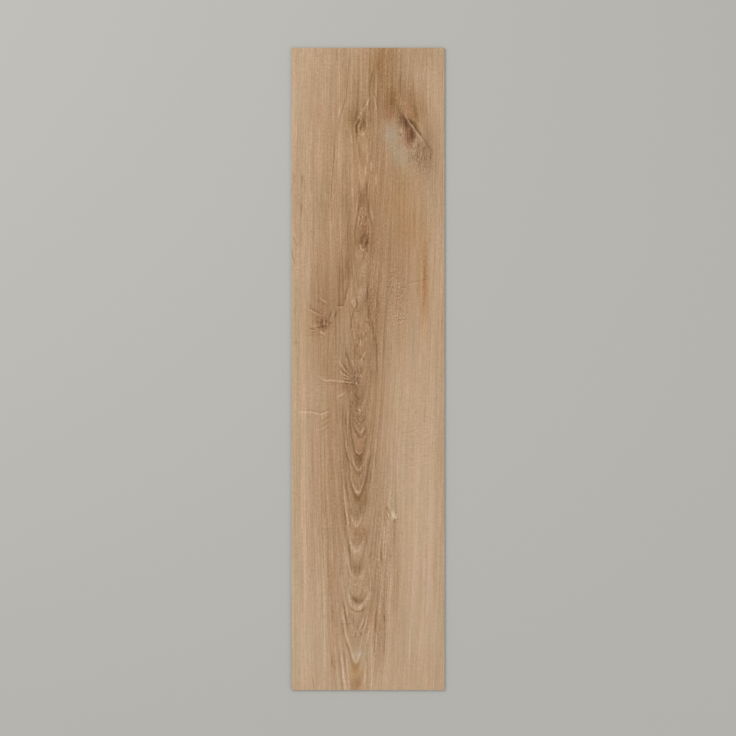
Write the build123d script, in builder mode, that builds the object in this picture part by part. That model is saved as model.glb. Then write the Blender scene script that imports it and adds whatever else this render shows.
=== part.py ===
# A square-edged vinyl floor plank of the loose-lay kind, lying flat with its
# printed face up.
#
# The plank is pressed and die-cut as one sheet, so it is one solid. It lies on
# the floor plane, with the middle of its underside at the origin, its length
# along Y and its width along X. All sizes are in millimetres.

import os

from build123d import *

plank_length = 1050.0
plank_width = 250.0
plank_thickness = 4.5
# The cutting die rolls the rim of the printed face over by this much.
face_arris_radius = 0.3

with BuildPart() as plank:
    with BuildSketch(Plane.XY):
        Rectangle(plank_width, plank_length)
    extrude(amount=plank_thickness)
    printed_face = plank.faces().sort_by(Axis.Z)[-1]
    fillet(printed_face.edges(), radius=face_arris_radius)

plank.part.label = "plank"

os.makedirs("parts", exist_ok=True)
export_step(plank.part, "parts/plank.step")
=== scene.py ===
import math

import bpy
import numpy as np
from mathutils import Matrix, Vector


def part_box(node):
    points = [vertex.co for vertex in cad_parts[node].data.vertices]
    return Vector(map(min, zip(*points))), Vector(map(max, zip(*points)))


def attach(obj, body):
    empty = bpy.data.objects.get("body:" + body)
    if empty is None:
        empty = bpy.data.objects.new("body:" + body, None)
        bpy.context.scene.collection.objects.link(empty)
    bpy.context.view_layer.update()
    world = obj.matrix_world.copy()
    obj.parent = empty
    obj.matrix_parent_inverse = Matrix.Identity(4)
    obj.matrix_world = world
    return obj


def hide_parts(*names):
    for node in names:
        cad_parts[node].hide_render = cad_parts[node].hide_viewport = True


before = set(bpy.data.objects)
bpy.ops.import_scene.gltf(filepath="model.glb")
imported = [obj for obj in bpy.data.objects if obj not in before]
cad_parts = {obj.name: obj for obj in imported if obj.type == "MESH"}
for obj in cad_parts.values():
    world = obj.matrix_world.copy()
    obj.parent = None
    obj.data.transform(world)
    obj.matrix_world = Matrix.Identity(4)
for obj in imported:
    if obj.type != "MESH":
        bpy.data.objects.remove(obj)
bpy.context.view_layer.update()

# A square-edged vinyl floor plank, lying face up. Its printed oak figure is built up
# from named stains, lines, arches and knots, with growth rings and fibres between them.
# Their places are turned into millimetres on the face: across from the centre line, and
# along from the middle towards the head end. The same figure drives the print and the
# embossing, which are in register.

low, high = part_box("plank")
HALF_WIDTH = (high[0] - low[0]) / 2
HALF_LENGTH = (high[1] - low[1]) / 2
THICKNESS = high[2] - low[2]
ARRIS_RADIUS = 0.0003
MILLIMETRE = 0.001

# The printed film's ground colour, and how much of each of its channels the inks
# take away: brown and the figure's own brown, amber, and green. Values are linear.
GROUND = (0.446, 0.286, 0.162)
BROWN_INK = (0.71, 1.00, 1.40)
FIGURE_INK = (0.79, 1.00, 1.43)
AMBER_INK = (0.00, 0.00, 1.00)
GREEN_INK = (1.00, 0.00, 0.00)
# The ground is lighter than the middle tone of the print by this much ink.
PALE_START = -0.20
# Pores are dashes of this much brown ink.
PORE_INK = 0.17

# How deep the embossing presses the face, and how much deeper each part of the figure
# goes for each unit of its ink, in millimetres.
FACE_DEPTH = 0.06
RING_DEPTH = 0.07
ARCH_DEPTH = 0.08
LINE_DEPTH = 0.12
PORE_DEPTH = 0.035
DEEPEST = 0.2

# The cut edge shows the printed film this far under the face, in millimetres, and the
# wear layer over it. The underside's lattice repeats after its pitch.
FILM_UNDER_FACE = 0.55
FILM_THICKNESS = 0.10
LATTICE_PITCH = 5.0
# Linear colours of the filled vinyl, of the grey backing and of the floor.
EDGE_COLOUR = (0.43, 0.38, 0.31)
BACKING_COLOUR = (0.20, 0.195, 0.185)
FLOOR_COLOUR = (0.485, 0.480, 0.450)

# The heart of the tree lies under the face, and its rings meet the face in arches. In
# millimetres: how far it leans aside for each millimetre along, where it lies across at
# the middle, where along it would come up to the face, how steeply it dives from there,
# its least depth, and how far to the side it still bends the rings.
PITH_LEAN = 0.0145
PITH_ACROSS = -13.6
ARCH_TOP = 560.0
ARCH_SLOPE = 0.055
LEAST_DEPTH = 9.0
ARCH_REACH = 400.0

# The face is dressed in stretches along the plank, so that each of their materials
# holds only the knots and lines that lie in it.
STRETCHES = 7
EDGE = STRETCHES
UNDERSIDE = STRETCHES + 1

# The figure below is read off the photograph: places and widths are in pixels of its
# square frame, where the plank's face fills the box given here. Inks are darker above
# nought and paler below it.
FRAME_PIXELS = 736
FACE_LEFT, FACE_RIGHT = 291.4, 444.5
FACE_HEAD, FACE_FOOT = 47.8, 690.2
MILLIMETRES_PER_PIXEL = 2 * HALF_LENGTH / MILLIMETRE / (FACE_FOOT - FACE_HEAD)

# A soft oval leaves nothing to see beyond this many of its half sizes.
FADE = 2.6
# A soft line has half of its ink left at the sides of its width, which is this many
# times its reach.
WIDTH_IN_REACHES = 1.7

# Soft stains, by the feature that they belong to. Name, across, down, half width, half
# length, turn in degrees, and brown, amber and green ink.
AREAS = {
    "heartwood and flanks": [
        ("heartwood, head half", 364, 175, 36, 130, 0, 0.44, 0.03, -0.04),
        ("heartwood, left of it", 322, 190, 20, 150, 0, 0.17, 0.01, -0.01),
        ("heartwood, middle", 352, 400, 26, 120, 0, 0.46, 0, -0.02),
        ("heartwood, foot half", 352, 590, 30, 105, 0, 0.22, 0, -0.01),
        ("right of the heartwood", 376, 395, 12, 90, 0, 0.20, 0, -0.01),
        ("right of the heartwood, foot half", 382, 560, 16, 80, 0, 0.13, 0, 0),
        ("left flank, foot half", 318, 470, 11, 75, 0, 0.13, 0, -0.02),
        ("pale field, foot left", 305, 640, 18, 60, 0, -0.08, 0, 0),
        ("pale field, foot right", 420, 540, 24, 100, 0, -0.10, 0, 0),
        ("pale field, foot", 362, 660, 60, 40, 0, -0.06, 0, 0),
        ("right flank, upper middle", 400, 245, 26, 90, 0, 0.29, 0, -0.03),
        ("right flank, above it", 378, 100, 16, 34, 0, 0.16, 0, 0),
        ("right rim, under the big knot", 430, 150, 12, 36, 0, 0.26, 0, 0),
        ("left rim, head half", 297, 190, 10, 56, 0, 0.10, 0, 0),
        ("right rim, head half", 432, 190, 12, 46, 0, 0.10, 0, 0),
    ],
    "stains at the head": [
        ("stain", 384, 61, 10, 26, 0, 0.46, 0.11, -0.05),
        ("stain, left half", 374, 68, 8, 26, 0, 0.16, 0.04, 0),
        ("stain, right half", 397, 58, 10, 24, 0, 0.17, 0.01, 0),
        ("above the big knot", 391, 100, 9, 17, 0, 0.44, 0.12, -0.03),
        ("above the big knot, olive", 393, 103, 4, 9, 0, 0.18, 0.12, 0.03),
        ("above the big knot, red", 391, 115, 6, 5, 0, 0.16, -0.02, -0.06),
        ("right of the big knot", 413, 106, 12, 20, 0, 0.52, 0.06, -0.04),
        ("right of the split", 415, 116, 6, 10, 0, 0.22, 0.12, -0.02),
        ("right of the stain", 420, 56, 19, 18, 0, 0.21, 0, 0),
        ("shade under the right end", 405, 85, 9, 14, 0, 0.22, 0, -0.02),
        ("shade towards the eye knot", 383, 108, 7, 12, 0, 0.10, 0, 0),
        ("head of the centre column", 358, 86, 8, 12, 0, 0.08, 0, 0),
    ],
    "big knot": [
        ("dark body", 407.6, 125.4, 4.8, 12, 30, 0.82, -0.10, 0.05),
        ("foot", 411.5, 137, 3.4, 7, 0, 0.40, -0.10, 0),
        ("pink cheek", 407, 138, 4.5, 6.5, 0, 0.62, -0.16, -0.08),
        ("left fringe", 402, 121, 4, 7, 0, 0.30, -0.04, -0.02),
        ("shadow on the speckle", 420, 154, 11, 13, 0, 0.30, -0.06, 0.04),
        ("shadow's foot", 424, 168, 9, 9, 0, 0.06, -0.04, 0.01),
        ("right side, pink", 428, 136, 6, 12, 0, 0.16, -0.05, -0.02),
    ],
    "silver patch": [
        ("patch", 391, 134, 8.5, 12, 0, -0.16, -0.15, 0.14),
        ("tail", 400, 156, 8, 13, 18, -0.18, -0.13, 0.12),
        ("shade over it", 374, 145, 8, 30, 0, 0.07, 0, 0.01),
    ],
    "honey patch and orange streak": [
        ("honey patch", 403, 200, 13, 34, 0, 0.05, 0.10, -0.03),
        ("honey patch, lower", 411, 228, 11, 16, 0, 0.08, 0.08, -0.03),
        ("orange streak", 424, 280, 5.4, 44, 0, 0.30, 0.14, -0.09),
        ("orange streak, edge line", 424.6, 290, 1.6, 30, 0, 0.12, 0.04, -0.03),
        ("orange streak, left side", 418.5, 275, 3, 24, 0, 0.10, 0.05, 0.03),
    ],
    "eye knot": [
        ("halo", 357, 119, 10, 20, 0, 0.26, 0.04, 0.01),
        ("olive side", 350, 120, 4.5, 9, 0, 0.14, 0.10, 0.03),
        ("body", 361, 125, 6, 9, 0, 0.24, 0.02, 0.02),
        ("pale at its left", 341.5, 158, 3.8, 28, 0, -0.25, 0, 0),
    ],
    "flame": [
        ("dark over the small knot", 364, 208, 5, 25, 0, 0.20, 0, -0.03),
        ("lower body", 364, 228, 4.4, 5, 0, 0.24, 0, -0.02),
        ("olive left side", 353.6, 237, 2, 13, 0, -0.02, 0.10, 0.03),
        ("olive right side", 370, 197, 3, 9, 0, -0.02, 0.08, 0.02),
        ("pale field over it", 362, 177, 8, 16, 0, -0.15, 0, 0),
        ("pale field right of it", 390, 210, 11, 28, 0, -0.10, 0.02, 0.01),
        ("shade at its side", 357, 225, 4, 24, 0, 0.10, 0.01, 0),
    ],
    "small knot": [
        ("halo", 364, 241, 9, 14, 0, 0.24, 0.02, -0.01),
        ("body", 364.2, 240.6, 4.2, 7, 0, 0.42, 0.02, 0),
        ("dark heart", 366.6, 242.5, 1.5, 4.5, -14, 0.90, 0.10, -0.02),
        ("pale heart", 364.8, 240.4, 1.0, 1.7, 0, -0.70, 0, 0),
        ("shade right of it", 373, 242, 3.5, 12, 0, 0.12, 0, 0),
        ("pale under it", 364, 273, 4, 13, 0, -0.10, 0, 0),
        ("pale field right of its foot", 378, 275, 5, 20, 0, -0.08, 0, 0),
    ],
    "dark column": [
        ("brown field left of it", 325, 300, 16, 36, 0, 0.30, 0, -0.01),
        ("brown field under that", 318, 318, 9, 14, 0, 0.18, 0, 0),
        ("body", 341.4, 280, 4, 24, 0, 0.26, 0, -0.02),
        ("foot", 340.4, 302, 4, 4, 0, 0.22, 0, -0.02),
        ("head", 347, 262, 5, 22, 0, 0.20, 0.01, -0.01),
        ("pale field right of it", 356, 300, 8, 26, 0, -0.16, 0, 0.01),
    ],
    "dark knot": [
        ("body", 323.6, 324, 4.2, 6, 0, 0.36, 0, 0.01),
        ("left bead", 321.5, 321.4, 1.1, 2.2, 0, 0.80, 0.04, 0),
        ("right bead", 326.6, 320.6, 1.2, 2.0, 15, 0.75, 0.04, 0),
        ("lower bead", 322.8, 326.4, 1.3, 1.0, 0, 0.90, 0.04, 0),
        ("lower left bead", 320, 327, 1.0, 1.0, 0, 0.50, 0, 0),
        ("lower right bead", 326, 327, 1.0, 1.6, 0, 0.60, 0, 0),
        ("last bead", 325, 329.2, 1.8, 0.8, 10, 0.45, 0, 0),
        ("pale heart", 323.7, 323, 1.2, 2.0, 0, -0.55, 0, -0.02),
    ],
    "right of the centre": [
        ("reddish strip", 375, 306, 7, 24, 0, 0.25, 0.02, -0.02),
        ("pink fleck beside the strip", 363.6, 299.4, 2, 3, 0, 0.04, -0.06, -0.05),
        ("below the strip", 374, 352, 7, 24, 0, 0.12, 0, 0),
        ("edge right of the strip", 393, 300, 8, 36, 0, 0.15, 0, 0),
        ("shade beside that edge", 409, 290, 9, 36, 0, 0.09, 0, 0),
        ("pale field over the strip", 384, 262, 8, 30, 0, -0.05, 0, 0),
    ],
    "star knot": [
        ("centre", 356, 376, 5, 9, 0, 0.34, -0.08, 0.02),
        ("shoulder", 346, 371, 9, 11, 0, 0.03, 0, 0),
        ("band under the crack", 347, 387, 8, 4, 0, 0.20, 0, -0.02),
        ("dark column under it", 354, 408, 9, 26, 0, 0.16, 0, 0),
        ("pale left of the comma", 347.5, 402, 3.5, 14, 0, -0.13, 0, 0),
        ("left of it, wide", 316, 345, 13, 36, 0, 0.13, 0, -0.01),
        ("pale field over it", 345, 341, 7, 22, 0, -0.09, 0, 0.02),
        ("shade right of it", 388, 352, 4, 28, 0, 0.12, 0, 0),
        ("left of it, near", 326, 368, 7, 14, 0, 0.15, 0, 0),
        ("dark speck at the left rim", 296, 342.5, 1.6, 1.1, 0, 0.30, 0.02, 0),
    ],
    "arch fills": [
        ("arch fill, first", 358.8, 441, 5, 8, 0, 0.16, 0, -0.02),
        ("arch fill, second", 358.8, 458, 4.4, 5.5, 0, 0.42, 0.02, -0.03),
        ("arch fill, third", 358.4, 480, 5, 8, 0, 0.06, 0, 0),
        ("arch fill, olive", 358, 500, 6.5, 4.5, 0, 0.40, 0.09, 0.04),
        ("arch fill, olive tail", 357.6, 510, 6, 8, 0, 0.24, -0.05, 0.03),
        ("arch fill, reddish", 359.4, 532.5, 8.5, 6.5, 0, 0.26, 0.02, -0.045),
        ("arch fill, grey", 356.6, 568, 6, 7, 0, 0.10, 0, 0.02),
        ("arch fill, low smudge, left", 355.4, 599.8, 1.8, 2.6, 0, 0.42, 0, 0.02),
        ("arch fill, low smudge, right", 360, 600.2, 1.8, 2, 0, 0.26, 0, 0.02),
        ("arch fill, olive above the silver tip", 359, 646, 8, 3, 0, 0.04, 0.08, 0.01),
        ("arch fill, silver tip", 356, 655, 5, 5.5, 0, -0.24, -0.06, 0.04),
        ("arch fill, copper tongue", 356, 670, 4.5, 7, 0, 0.26, 0.26, -0.10),
        ("arch fill, copper foot", 357, 684, 6.5, 8, 0, 0.40, 0.08, -0.06),
        ("brown under the reddish fill", 358, 540, 7, 5, 0, 0.20, 0, 0),
        ("pale under that brown", 357, 551, 6, 4, 0, -0.14, 0, 0),
        ("silver tip, right part", 364, 653, 4, 4, 0, -0.04, -0.05, 0.05),
    ],
    "bands beside the arches": [
        ("red band, left", 331, 500, 5, 110, 0, 0.10, 0, -0.02),
        ("red band, right, foot", 375, 618, 9, 22, 0, 0.19, -0.01, -0.03),
        ("dark edge band, left", 344, 475, 4, 50, 0, 0.12, 0, 0),
        ("red field, foot right", 379, 650, 6, 34, 0, 0.14, 0, -0.03),
        ("shade down the arches", 361, 468, 7, 44, 0, 0.15, 0.01, 0),
        ("left, first band", 325.5, 512, 5, 28, 0, 0.15, 0, -0.01),
        ("left, second band", 341.5, 512, 4.5, 28, 0, 0.16, 0, 0),
        ("long band, right", 396.5, 570, 4.5, 96, 0, 0.14, 0, 0),
        ("shade left of the foot arch", 341, 657, 5, 14, 0, 0.10, 0, 0),
        ("shade at the arches' right", 365, 492, 4, 24, 0, 0.26, 0, 0),
        ("left column, low", 342, 548, 4, 26, 0, 0.08, 0, 0),
        ("shade inside the foot arches", 364, 622, 4, 18, 0, 0.09, 0, 0),
        ("red band, foot left", 333.5, 635, 2.6, 30, 0, 0.06, 0, -0.04),
        ("yellow band beside the low arch", 347.5, 590, 2.4, 13, 0, -0.06, 0.05, 0.05),
    ],
    "pale knot": [
        ("glow", 393.2, 515.4, 2.0, 3.6, 4, -0.62, 0, -0.02),
        ("upper grey", 395.5, 502, 3, 9, 0, 0.02, 0.01, 0.05),
    ],
    "margins": [
        ("left margin, greenish", 299, 370, 1.8, 330, 0, 0.05, 0.01, 0.01),
        ("left margin, yellow", 294.5, 400, 2.6, 330, 0, 0, 0.02, 0.04),
        ("left margin, peach", 303.5, 470, 2, 230, 0, -0.02, -0.01, -0.03),
        ("right margin, orange", 442, 400, 3, 330, 0, 0.10, -0.02, 0.01),
        ("right margin, greenish", 436.5, 400, 1.8, 330, 0, 0.03, 0.01, 0.02),
        ("right margin, peach", 432, 470, 1.8, 230, 0, -0.02, -0.01, -0.02),
    ],
    "foot": [
        ("brown field, right", 420, 668, 16, 16, 0, 0.05, 0, -0.01),
        ("dark field, left", 316, 655, 4, 24, 0, 0.06, 0, 0),
        ("yellow fleck, left", 318, 676, 3, 6, 0, 0.04, 0.04, 0),
        ("yellow fleck, right", 404, 679, 12, 4, 0, 0, 0.03, 0.01),
        ("brown fleck, left", 334, 664, 2.2, 6, 0, 0.12, 0.03, 0),
        ("pale right rim", 436, 628, 4, 24, 0, -0.08, 0, 0),
    ],
}

# Drawn lines, by the feature that they belong to. Name, across and down of one end,
# across and down of the other, width, swing to the right-hand side of that way, and
# brown ink.
LINES = {
    "head": [
        ("short dark line", 337, 47, 336.5, 60, 1.0, 0, 0.32),
        ("long dark line left of the eye knot", 349, 58, 346.5, 98, 1.1, 0, 0.40),
        ("its bend towards the left", 345.5, 98, 338, 126, 1.1, 0, 0.28),
        ("pale line beside the bend", 346.5, 100, 340, 124, 0.9, 0, -0.16),
        ("dark line over the tent", 373, 70, 369.5, 88, 1.0, 0, 0.50),
        ("dark line in the middle", 363.5, 50, 363, 78, 1.0, 0, 0.30),
        ("dark line right of the stain", 401, 70, 400, 92, 1.0, 0, 0.34),
    ],
    "tent": [
        ("left leg", 370, 97, 366.5, 106.5, 1.2, 0.4, -0.42),
        ("left foot", 364.5, 107, 360.5, 114, 1.3, 0, -0.34),
        ("right leg", 372.6, 94.5, 374.8, 111.5, 1.2, -1.5, -0.42),
        ("dark inside", 370, 99, 368.6, 110, 1.1, 0, 0.36),
        ("dark right inside", 372.6, 101, 373.4, 112, 1.0, 0, 0.22),
        ("dark left side", 367.2, 97, 362, 110, 1.0, 0, 0.26),
        ("dark right side", 376.1, 96, 377.7, 110, 0.9, 0, 0.40),
        ("dark foot", 363.5, 112, 367, 117, 1.5, 0, 0.34),
    ],
    "eye knot": [
        ("dark rim", 359.2, 119.6, 356.8, 134, 1.4, 1.3, 1.00),
        ("heart", 361.4, 123.6, 360.6, 131, 1.6, 0.2, 0.90),
        ("dark body", 364.4, 117.5, 363.6, 128.5, 2.6, 0, 0.34),
        ("dark brow", 357.4, 111.5, 354, 122.5, 1.5, 0, 0.46),
        ("pale brow", 353.6, 111, 352.4, 118, 1.0, 0, -0.38),
        ("pale spot", 359, 116, 358.8, 118.8, 1.4, 0, -0.80),
        ("pale slant", 357.4, 119.6, 354.4, 124.6, 1.0, 0, -0.38),
        ("pale middle", 359.6, 123, 359.4, 131.2, 0.9, 0.7, -0.62),
        ("pale hook", 358.2, 131.6, 363.4, 135.6, 1.0, 0.7, -0.38),
        ("pale heel", 362.6, 134.4, 366.0, 130.4, 1.0, 0.2, -0.52),
        ("pale right rim", 366.6, 120, 366.8, 129.6, 1.0, -0.6, -0.42),
        ("dark right side", 368, 118, 368, 129, 1.0, 0, 0.28),
        ("dark dot above", 358.2, 103.5, 358.4, 105.8, 1.1, 0, 0.40),
        ("pale left line", 346.6, 121, 347.6, 130, 1.0, 0, -0.16),
        ("pale slant at its left", 341.2, 104, 338.6, 115, 1.2, 0, -0.30),
        ("pale foot", 358.4, 136, 358.4, 142, 1.0, 0, -0.50),
        ("pale foot, left", 351.4, 135.5, 351.6, 144, 0.9, 0, -0.34),
    ],
    "under the eye knot": [
        ("dark line below the bend", 334.8, 138, 332.8, 176, 1.0, 0, 0.45),
        ("its lower end", 332.8, 172, 330.8, 200, 1.0, 0, 0.35),
        ("pale line beside it", 337, 140, 336, 160, 0.9, 0, -0.16),
        ("pale line in the middle", 354, 140, 352.5, 158, 1.0, 0, -0.20),
        ("second pale line", 358, 140, 356.5, 156, 0.8, 0, -0.14),
        ("pale line right of them", 367.5, 142, 367, 161, 1.2, 0, -0.34),
        ("pale fleck", 365, 164, 365.5, 175, 1.4, 0, -0.26),
        ("pale fleck, right", 371, 162, 371.5, 171, 1.0, 0, -0.55),
    ],
    "split": [
        ("pale start", 403.4, 112.5, 408.4, 120.6, 1.2, 0, -0.24),
        ("pale upper", 407.6, 119.6, 414, 128.6, 1.2, 0, -0.84),
        ("pale lower", 412.6, 127.9, 420, 136.8, 1.1, 0, -0.42),
        ("pale end", 419.6, 136.4, 423, 141.6, 1.0, 0, -0.16),
        ("dark upper lip", 409.2, 119.2, 416.2, 127.4, 2.1, 0, 1.00),
        ("dark lower lip", 414.6, 126.2, 421.4, 135.6, 1.9, 0, 1.00),
        ("soft shadow beside the lip", 412.6, 119.8, 419.6, 129.4, 1.9, 0, 0.34),
        ("red end", 420.4, 134.8, 430.2, 149, 1.5, -0.5, 0.40),
        ("red tip", 429.6, 147, 433, 154, 1.2, 0, 0.36),
        ("red line towards it", 395.6, 103.8, 400.2, 114.4, 1.5, -0.3, 0.32),
        ("pale line towards it", 400.6, 97, 401.6, 107, 1.1, 0, -0.26),
    ],
    "big knot": [
        ("dark head", 402.6, 114.6, 408, 125.6, 2.2, 0, 0.52),
        ("dark neck", 405.6, 118, 406.6, 130, 2.6, 0, 0.78),
        ("dark tooth", 412.2, 128.4, 413.4, 142.4, 2.6, 0, 0.74),
        ("dark tooth's side", 414, 131, 415, 138, 1.3, 0, 0.40),
        ("first streak", 402.6, 113, 404.8, 121, 1.1, 0, 0.12),
        ("second streak", 406.6, 129.5, 408.4, 144, 1.1, 0, 0.40),
        ("left fringe", 400.6, 116, 401.6, 124, 1.3, 0, 0.40),
        ("pale fleck", 401.2, 127.4, 401, 132.6, 1.3, 0, -0.30),
        ("pale inner fleck", 408, 127.2, 407.4, 130.6, 1.0, 0, -0.60),
        ("dark bead", 400.4, 133.6, 400.4, 135.6, 1.2, 0, 1.05),
        ("pale gap", 415.8, 139, 414.6, 147, 1.2, 0, -0.26),
    ],
    "speckle": [
        ("first fleck", 418.2, 143, 418, 149, 1.2, 0, 0.30),
        ("second fleck", 418, 152, 417.4, 159, 1.3, 0, 0.50),
        ("third fleck", 424.4, 146, 423.4, 155, 1.2, 0, 0.52),
        ("fourth fleck", 411.5, 145, 414, 150.5, 1.2, 0, 0.46),
        ("fifth fleck", 411.8, 153, 412.6, 159.6, 1.2, 0, 0.44),
        ("sixth fleck", 425.6, 156, 423.8, 161, 1.2, 0, 0.44),
        ("seventh fleck", 430.8, 152, 430.6, 160, 1.1, 0, 0.42),
        ("eighth fleck", 417.8, 161.5, 419, 167, 1.1, 0, 0.38),
        ("ninth fleck", 419, 143, 419.4, 147, 1.0, 0, 0.40),
        ("tenth fleck", 404.8, 142.6, 407.2, 147.6, 1.2, 0, 0.36),
        ("pale fleck", 415.2, 148.6, 414.6, 153, 1.1, 0, -0.34),
        ("second pale fleck", 421, 150, 421.4, 157, 1.1, 0, -0.32),
        ("third pale fleck", 416.6, 161.6, 416, 166, 1.1, 0, -0.34),
    ],
    "flame": [
        ("right edge, top", 366.8, 183, 366.8, 203, 1.4, 0, 0.52),
        ("right edge, thick", 368, 201, 368.6, 213, 1.9, 0, 0.42),
        ("right edge, foot", 368.6, 211, 372, 226, 1.5, 0.4, 0.45),
        ("pale right line", 370, 204, 374, 220, 1.4, 0.5, -0.32),
        ("left edge, top", 360.6, 192, 360, 204, 1.2, 0, 0.28),
        ("left edge, foot", 359, 203, 354.4, 233, 1.4, -0.6, 0.42),
        ("left edge, end", 354.6, 231, 355, 252, 1.3, 0, 0.38),
        ("pale left line", 361.6, 207, 357.4, 224, 1.2, -0.4, -0.28),
        ("outer pale left line", 357.9, 196, 352.9, 222, 1.1, -0.6, -0.32),
        ("outer left line", 351, 200, 347, 250, 1.0, 0.8, 0.24),
        ("pale line at the left top", 352.6, 188, 352.4, 198, 1.0, 0, -0.28),
        ("first dark fleck", 359.8, 214, 362, 219, 1.1, 0.4, 0.52),
        ("second dark fleck", 366.4, 215.4, 365.2, 219, 1.0, 0, 0.56),
        ("third dark fleck", 360.6, 219.6, 359.6, 224, 1.1, 0, 0.44),
        ("fourth dark fleck", 363.4, 222.5, 365.2, 222.3, 1.1, 0, 0.36),
        ("fifth dark fleck", 365.8, 216, 366.6, 222, 1.1, 0, 0.34),
        ("first pale fleck", 361.2, 216.4, 364.6, 217, 0.9, 0.3, -0.40),
        ("second pale fleck", 360.4, 225, 362, 222.4, 1.0, 0, -0.36),
        ("third pale fleck", 362, 222.8, 366, 224.2, 1.0, 0.8, -0.40),
        ("fourth pale fleck", 361.6, 207.4, 361.6, 210, 1.1, 0, -0.36),
        ("upper pale flecks", 362, 193, 365.5, 192.4, 1.2, 0, -0.26),
        ("pale line at its right", 376, 174, 375.6, 184.5, 1.0, 0, -0.44),
    ],
    "small knot": [
        ("dark cap", 361.4, 238, 368.2, 237, 1.6, -3.0, 0.46),
        ("left wall", 361.3, 236, 361.9, 246, 1.5, 0, 0.12),
        ("right wall", 368.2, 236, 368, 243, 1.5, 0, 0.16),
        ("tail", 366, 246.6, 367.8, 252.6, 1.4, 0, 0.70),
        ("pale foot", 359.9, 244, 360.9, 249, 1.3, 0, -0.75),
        ("pale heel", 361.6, 248.6, 364, 250.4, 1.4, 0, -0.46),
        ("dark curl", 370.6, 250, 372.4, 254, 1.1, 0, 0.30),
    ],
    "left rim, head half": [
        ("dark fleck", 294.2, 174, 294.2, 183, 1.6, 0, 0.32),
        ("pale slant", 293, 232, 297.5, 241, 1.0, 0, -0.22),
        ("dark slant", 292.5, 236, 297, 246, 0.9, 0, 0.28),
        ("second dark slant", 291.6, 250, 294.6, 264, 0.9, 0, 0.38),
        ("red-brown dash", 302, 174, 301.8, 185, 1.2, 0, 0.38),
        ("second dash", 301.6, 203, 301.4, 213, 1.2, 0, 0.46),
        ("third dash", 302.6, 230, 302.6, 246, 1.2, 0, 0.12),
        ("pale dash", 310.4, 193, 310.4, 202, 1.1, 0, -0.20),
        ("second pale dash", 325.5, 192, 325.5, 201, 1.1, 0, -0.32),
    ],
    "right flank": [
        ("pale line right of the speckle", 428.5, 176, 427.5, 202, 1.0, 0, -0.20),
        ("pale line's lower part", 429, 204, 427, 230, 0.9, 0, -0.14),
        ("crack, pale", 408.8, 285, 418.3, 282, 0.8, 0, -0.26),
        ("crack, dark", 409, 282.6, 430.8, 278, 0.9, 0.5, 0.26),
    ],
    "dark column": [
        ("pale left side", 336, 262, 335.8, 304, 1.1, 0, -0.12),
        ("left edge", 339.4, 262, 338.8, 304, 1.2, 0, 0.32),
        ("right edge", 346.4, 254, 348.4, 284, 2.2, 0, 0.30),
        ("foot", 337.2, 305.2, 343.8, 305.4, 1.3, 0, 0.56),
        ("pale under the foot", 337.6, 307.4, 343, 307.4, 1.0, 0, -0.34),
        ("pale right side", 351.4, 284, 346.6, 303, 1.2, 0.4, -0.16),
        ("slant under it", 337.2, 309.8, 334.6, 317.6, 1.4, 0, 0.66),
        ("pale beside the slant", 334.2, 311, 332.4, 318, 1.1, 0, -0.16),
        ("second slant", 331.6, 310, 328.8, 319.4, 1.3, 0, 0.40),
        ("slant towards the dark knot", 332.6, 322, 328.4, 323.6, 1.2, 0, 0.34),
        ("right edge's foot", 348, 284, 343.8, 304, 1.5, 0, 0.46),
    ],
    "dark knot": [
        ("right cheek", 330, 321, 328.8, 327, 1.8, 0, 0.20),
        ("upper left ray, pale", 309.6, 310.2, 321.6, 316, 1.1, 0, -0.38),
        ("upper left ray, dark", 310.8, 308.4, 319.4, 313, 1.1, 0, 0.46),
        ("left curl", 315.6, 317, 318.6, 318, 1.0, 1.2, 0.36),
        ("left fleck", 317, 321, 318.8, 323.6, 1.2, 0, 0.36),
        ("level ray, pale", 310.6, 325.8, 318.6, 326, 1.1, 0, -0.30),
        ("level ray, dark", 315.4, 327.8, 320.4, 327, 1.0, 0, 0.52),
        ("left foot ray", 309.8, 328, 315.4, 329.8, 1.0, 0, 0.58),
        ("lower ray, pale", 312.4, 330.6, 319, 329.6, 0.9, 0, -0.26),
        ("lower ray, dark", 312, 332.4, 319, 330.8, 0.9, 0, 0.34),
        ("last ray", 311.6, 334.4, 319.6, 334, 0.9, 0, 0.26),
        ("pale foot", 320.2, 331.6, 324.8, 334.6, 1.2, 0, -0.74),
        ("long lower line", 304, 336, 318, 335.2, 0.8, 0, 0.16),
        ("pale curl above it", 319.8, 298.6, 327.8, 303.6, 1.1, 0, -0.36),
        ("dark curl above it", 319.6, 300.6, 325.4, 303.8, 1.0, 0, 0.24),
        ("dark dot above the curl", 325.2, 299, 326.6, 299.4, 1.0, 0, 0.20),
        ("fleck left of the curl", 317.8, 298, 318.6, 303.6, 1.0, 0, 0.26),
        ("second fleck left of the curl", 311.2, 303.6, 309.8, 309.6, 1.0, 0, 0.28),
    ],
    "squiggle": [
        ("pale head", 354.5, 297, 354.5, 301.6, 1.2, 0, -0.40),
        ("second pale head", 352.3, 299.4, 352.3, 303.4, 1.0, 0, -0.36),
        ("pale inside", 355, 302.6, 354.8, 306.6, 1.1, 0, -0.46),
        ("dark side", 356.2, 298.4, 357.4, 303.8, 1.1, 0, 0.52),
        ("dark right arm", 357.4, 303.4, 354.6, 310.6, 1.2, 0, 0.62),
        ("dark left arm", 351, 304.6, 354.4, 310.8, 1.1, 0, 0.44),
        ("dark neck", 354.6, 310, 351.6, 320, 1.2, 0.3, 0.52),
        ("dark tail", 351.6, 318.6, 350.6, 329, 1.3, 0, 0.50),
        ("dot", 357.4, 310.4, 357.6, 312, 1.1, 0, 0.44),
        ("dark fleck at its right", 358.2, 321, 358.6, 329.6, 1.3, 0, 0.42),
    ],
    "right of the centre": [
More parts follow.
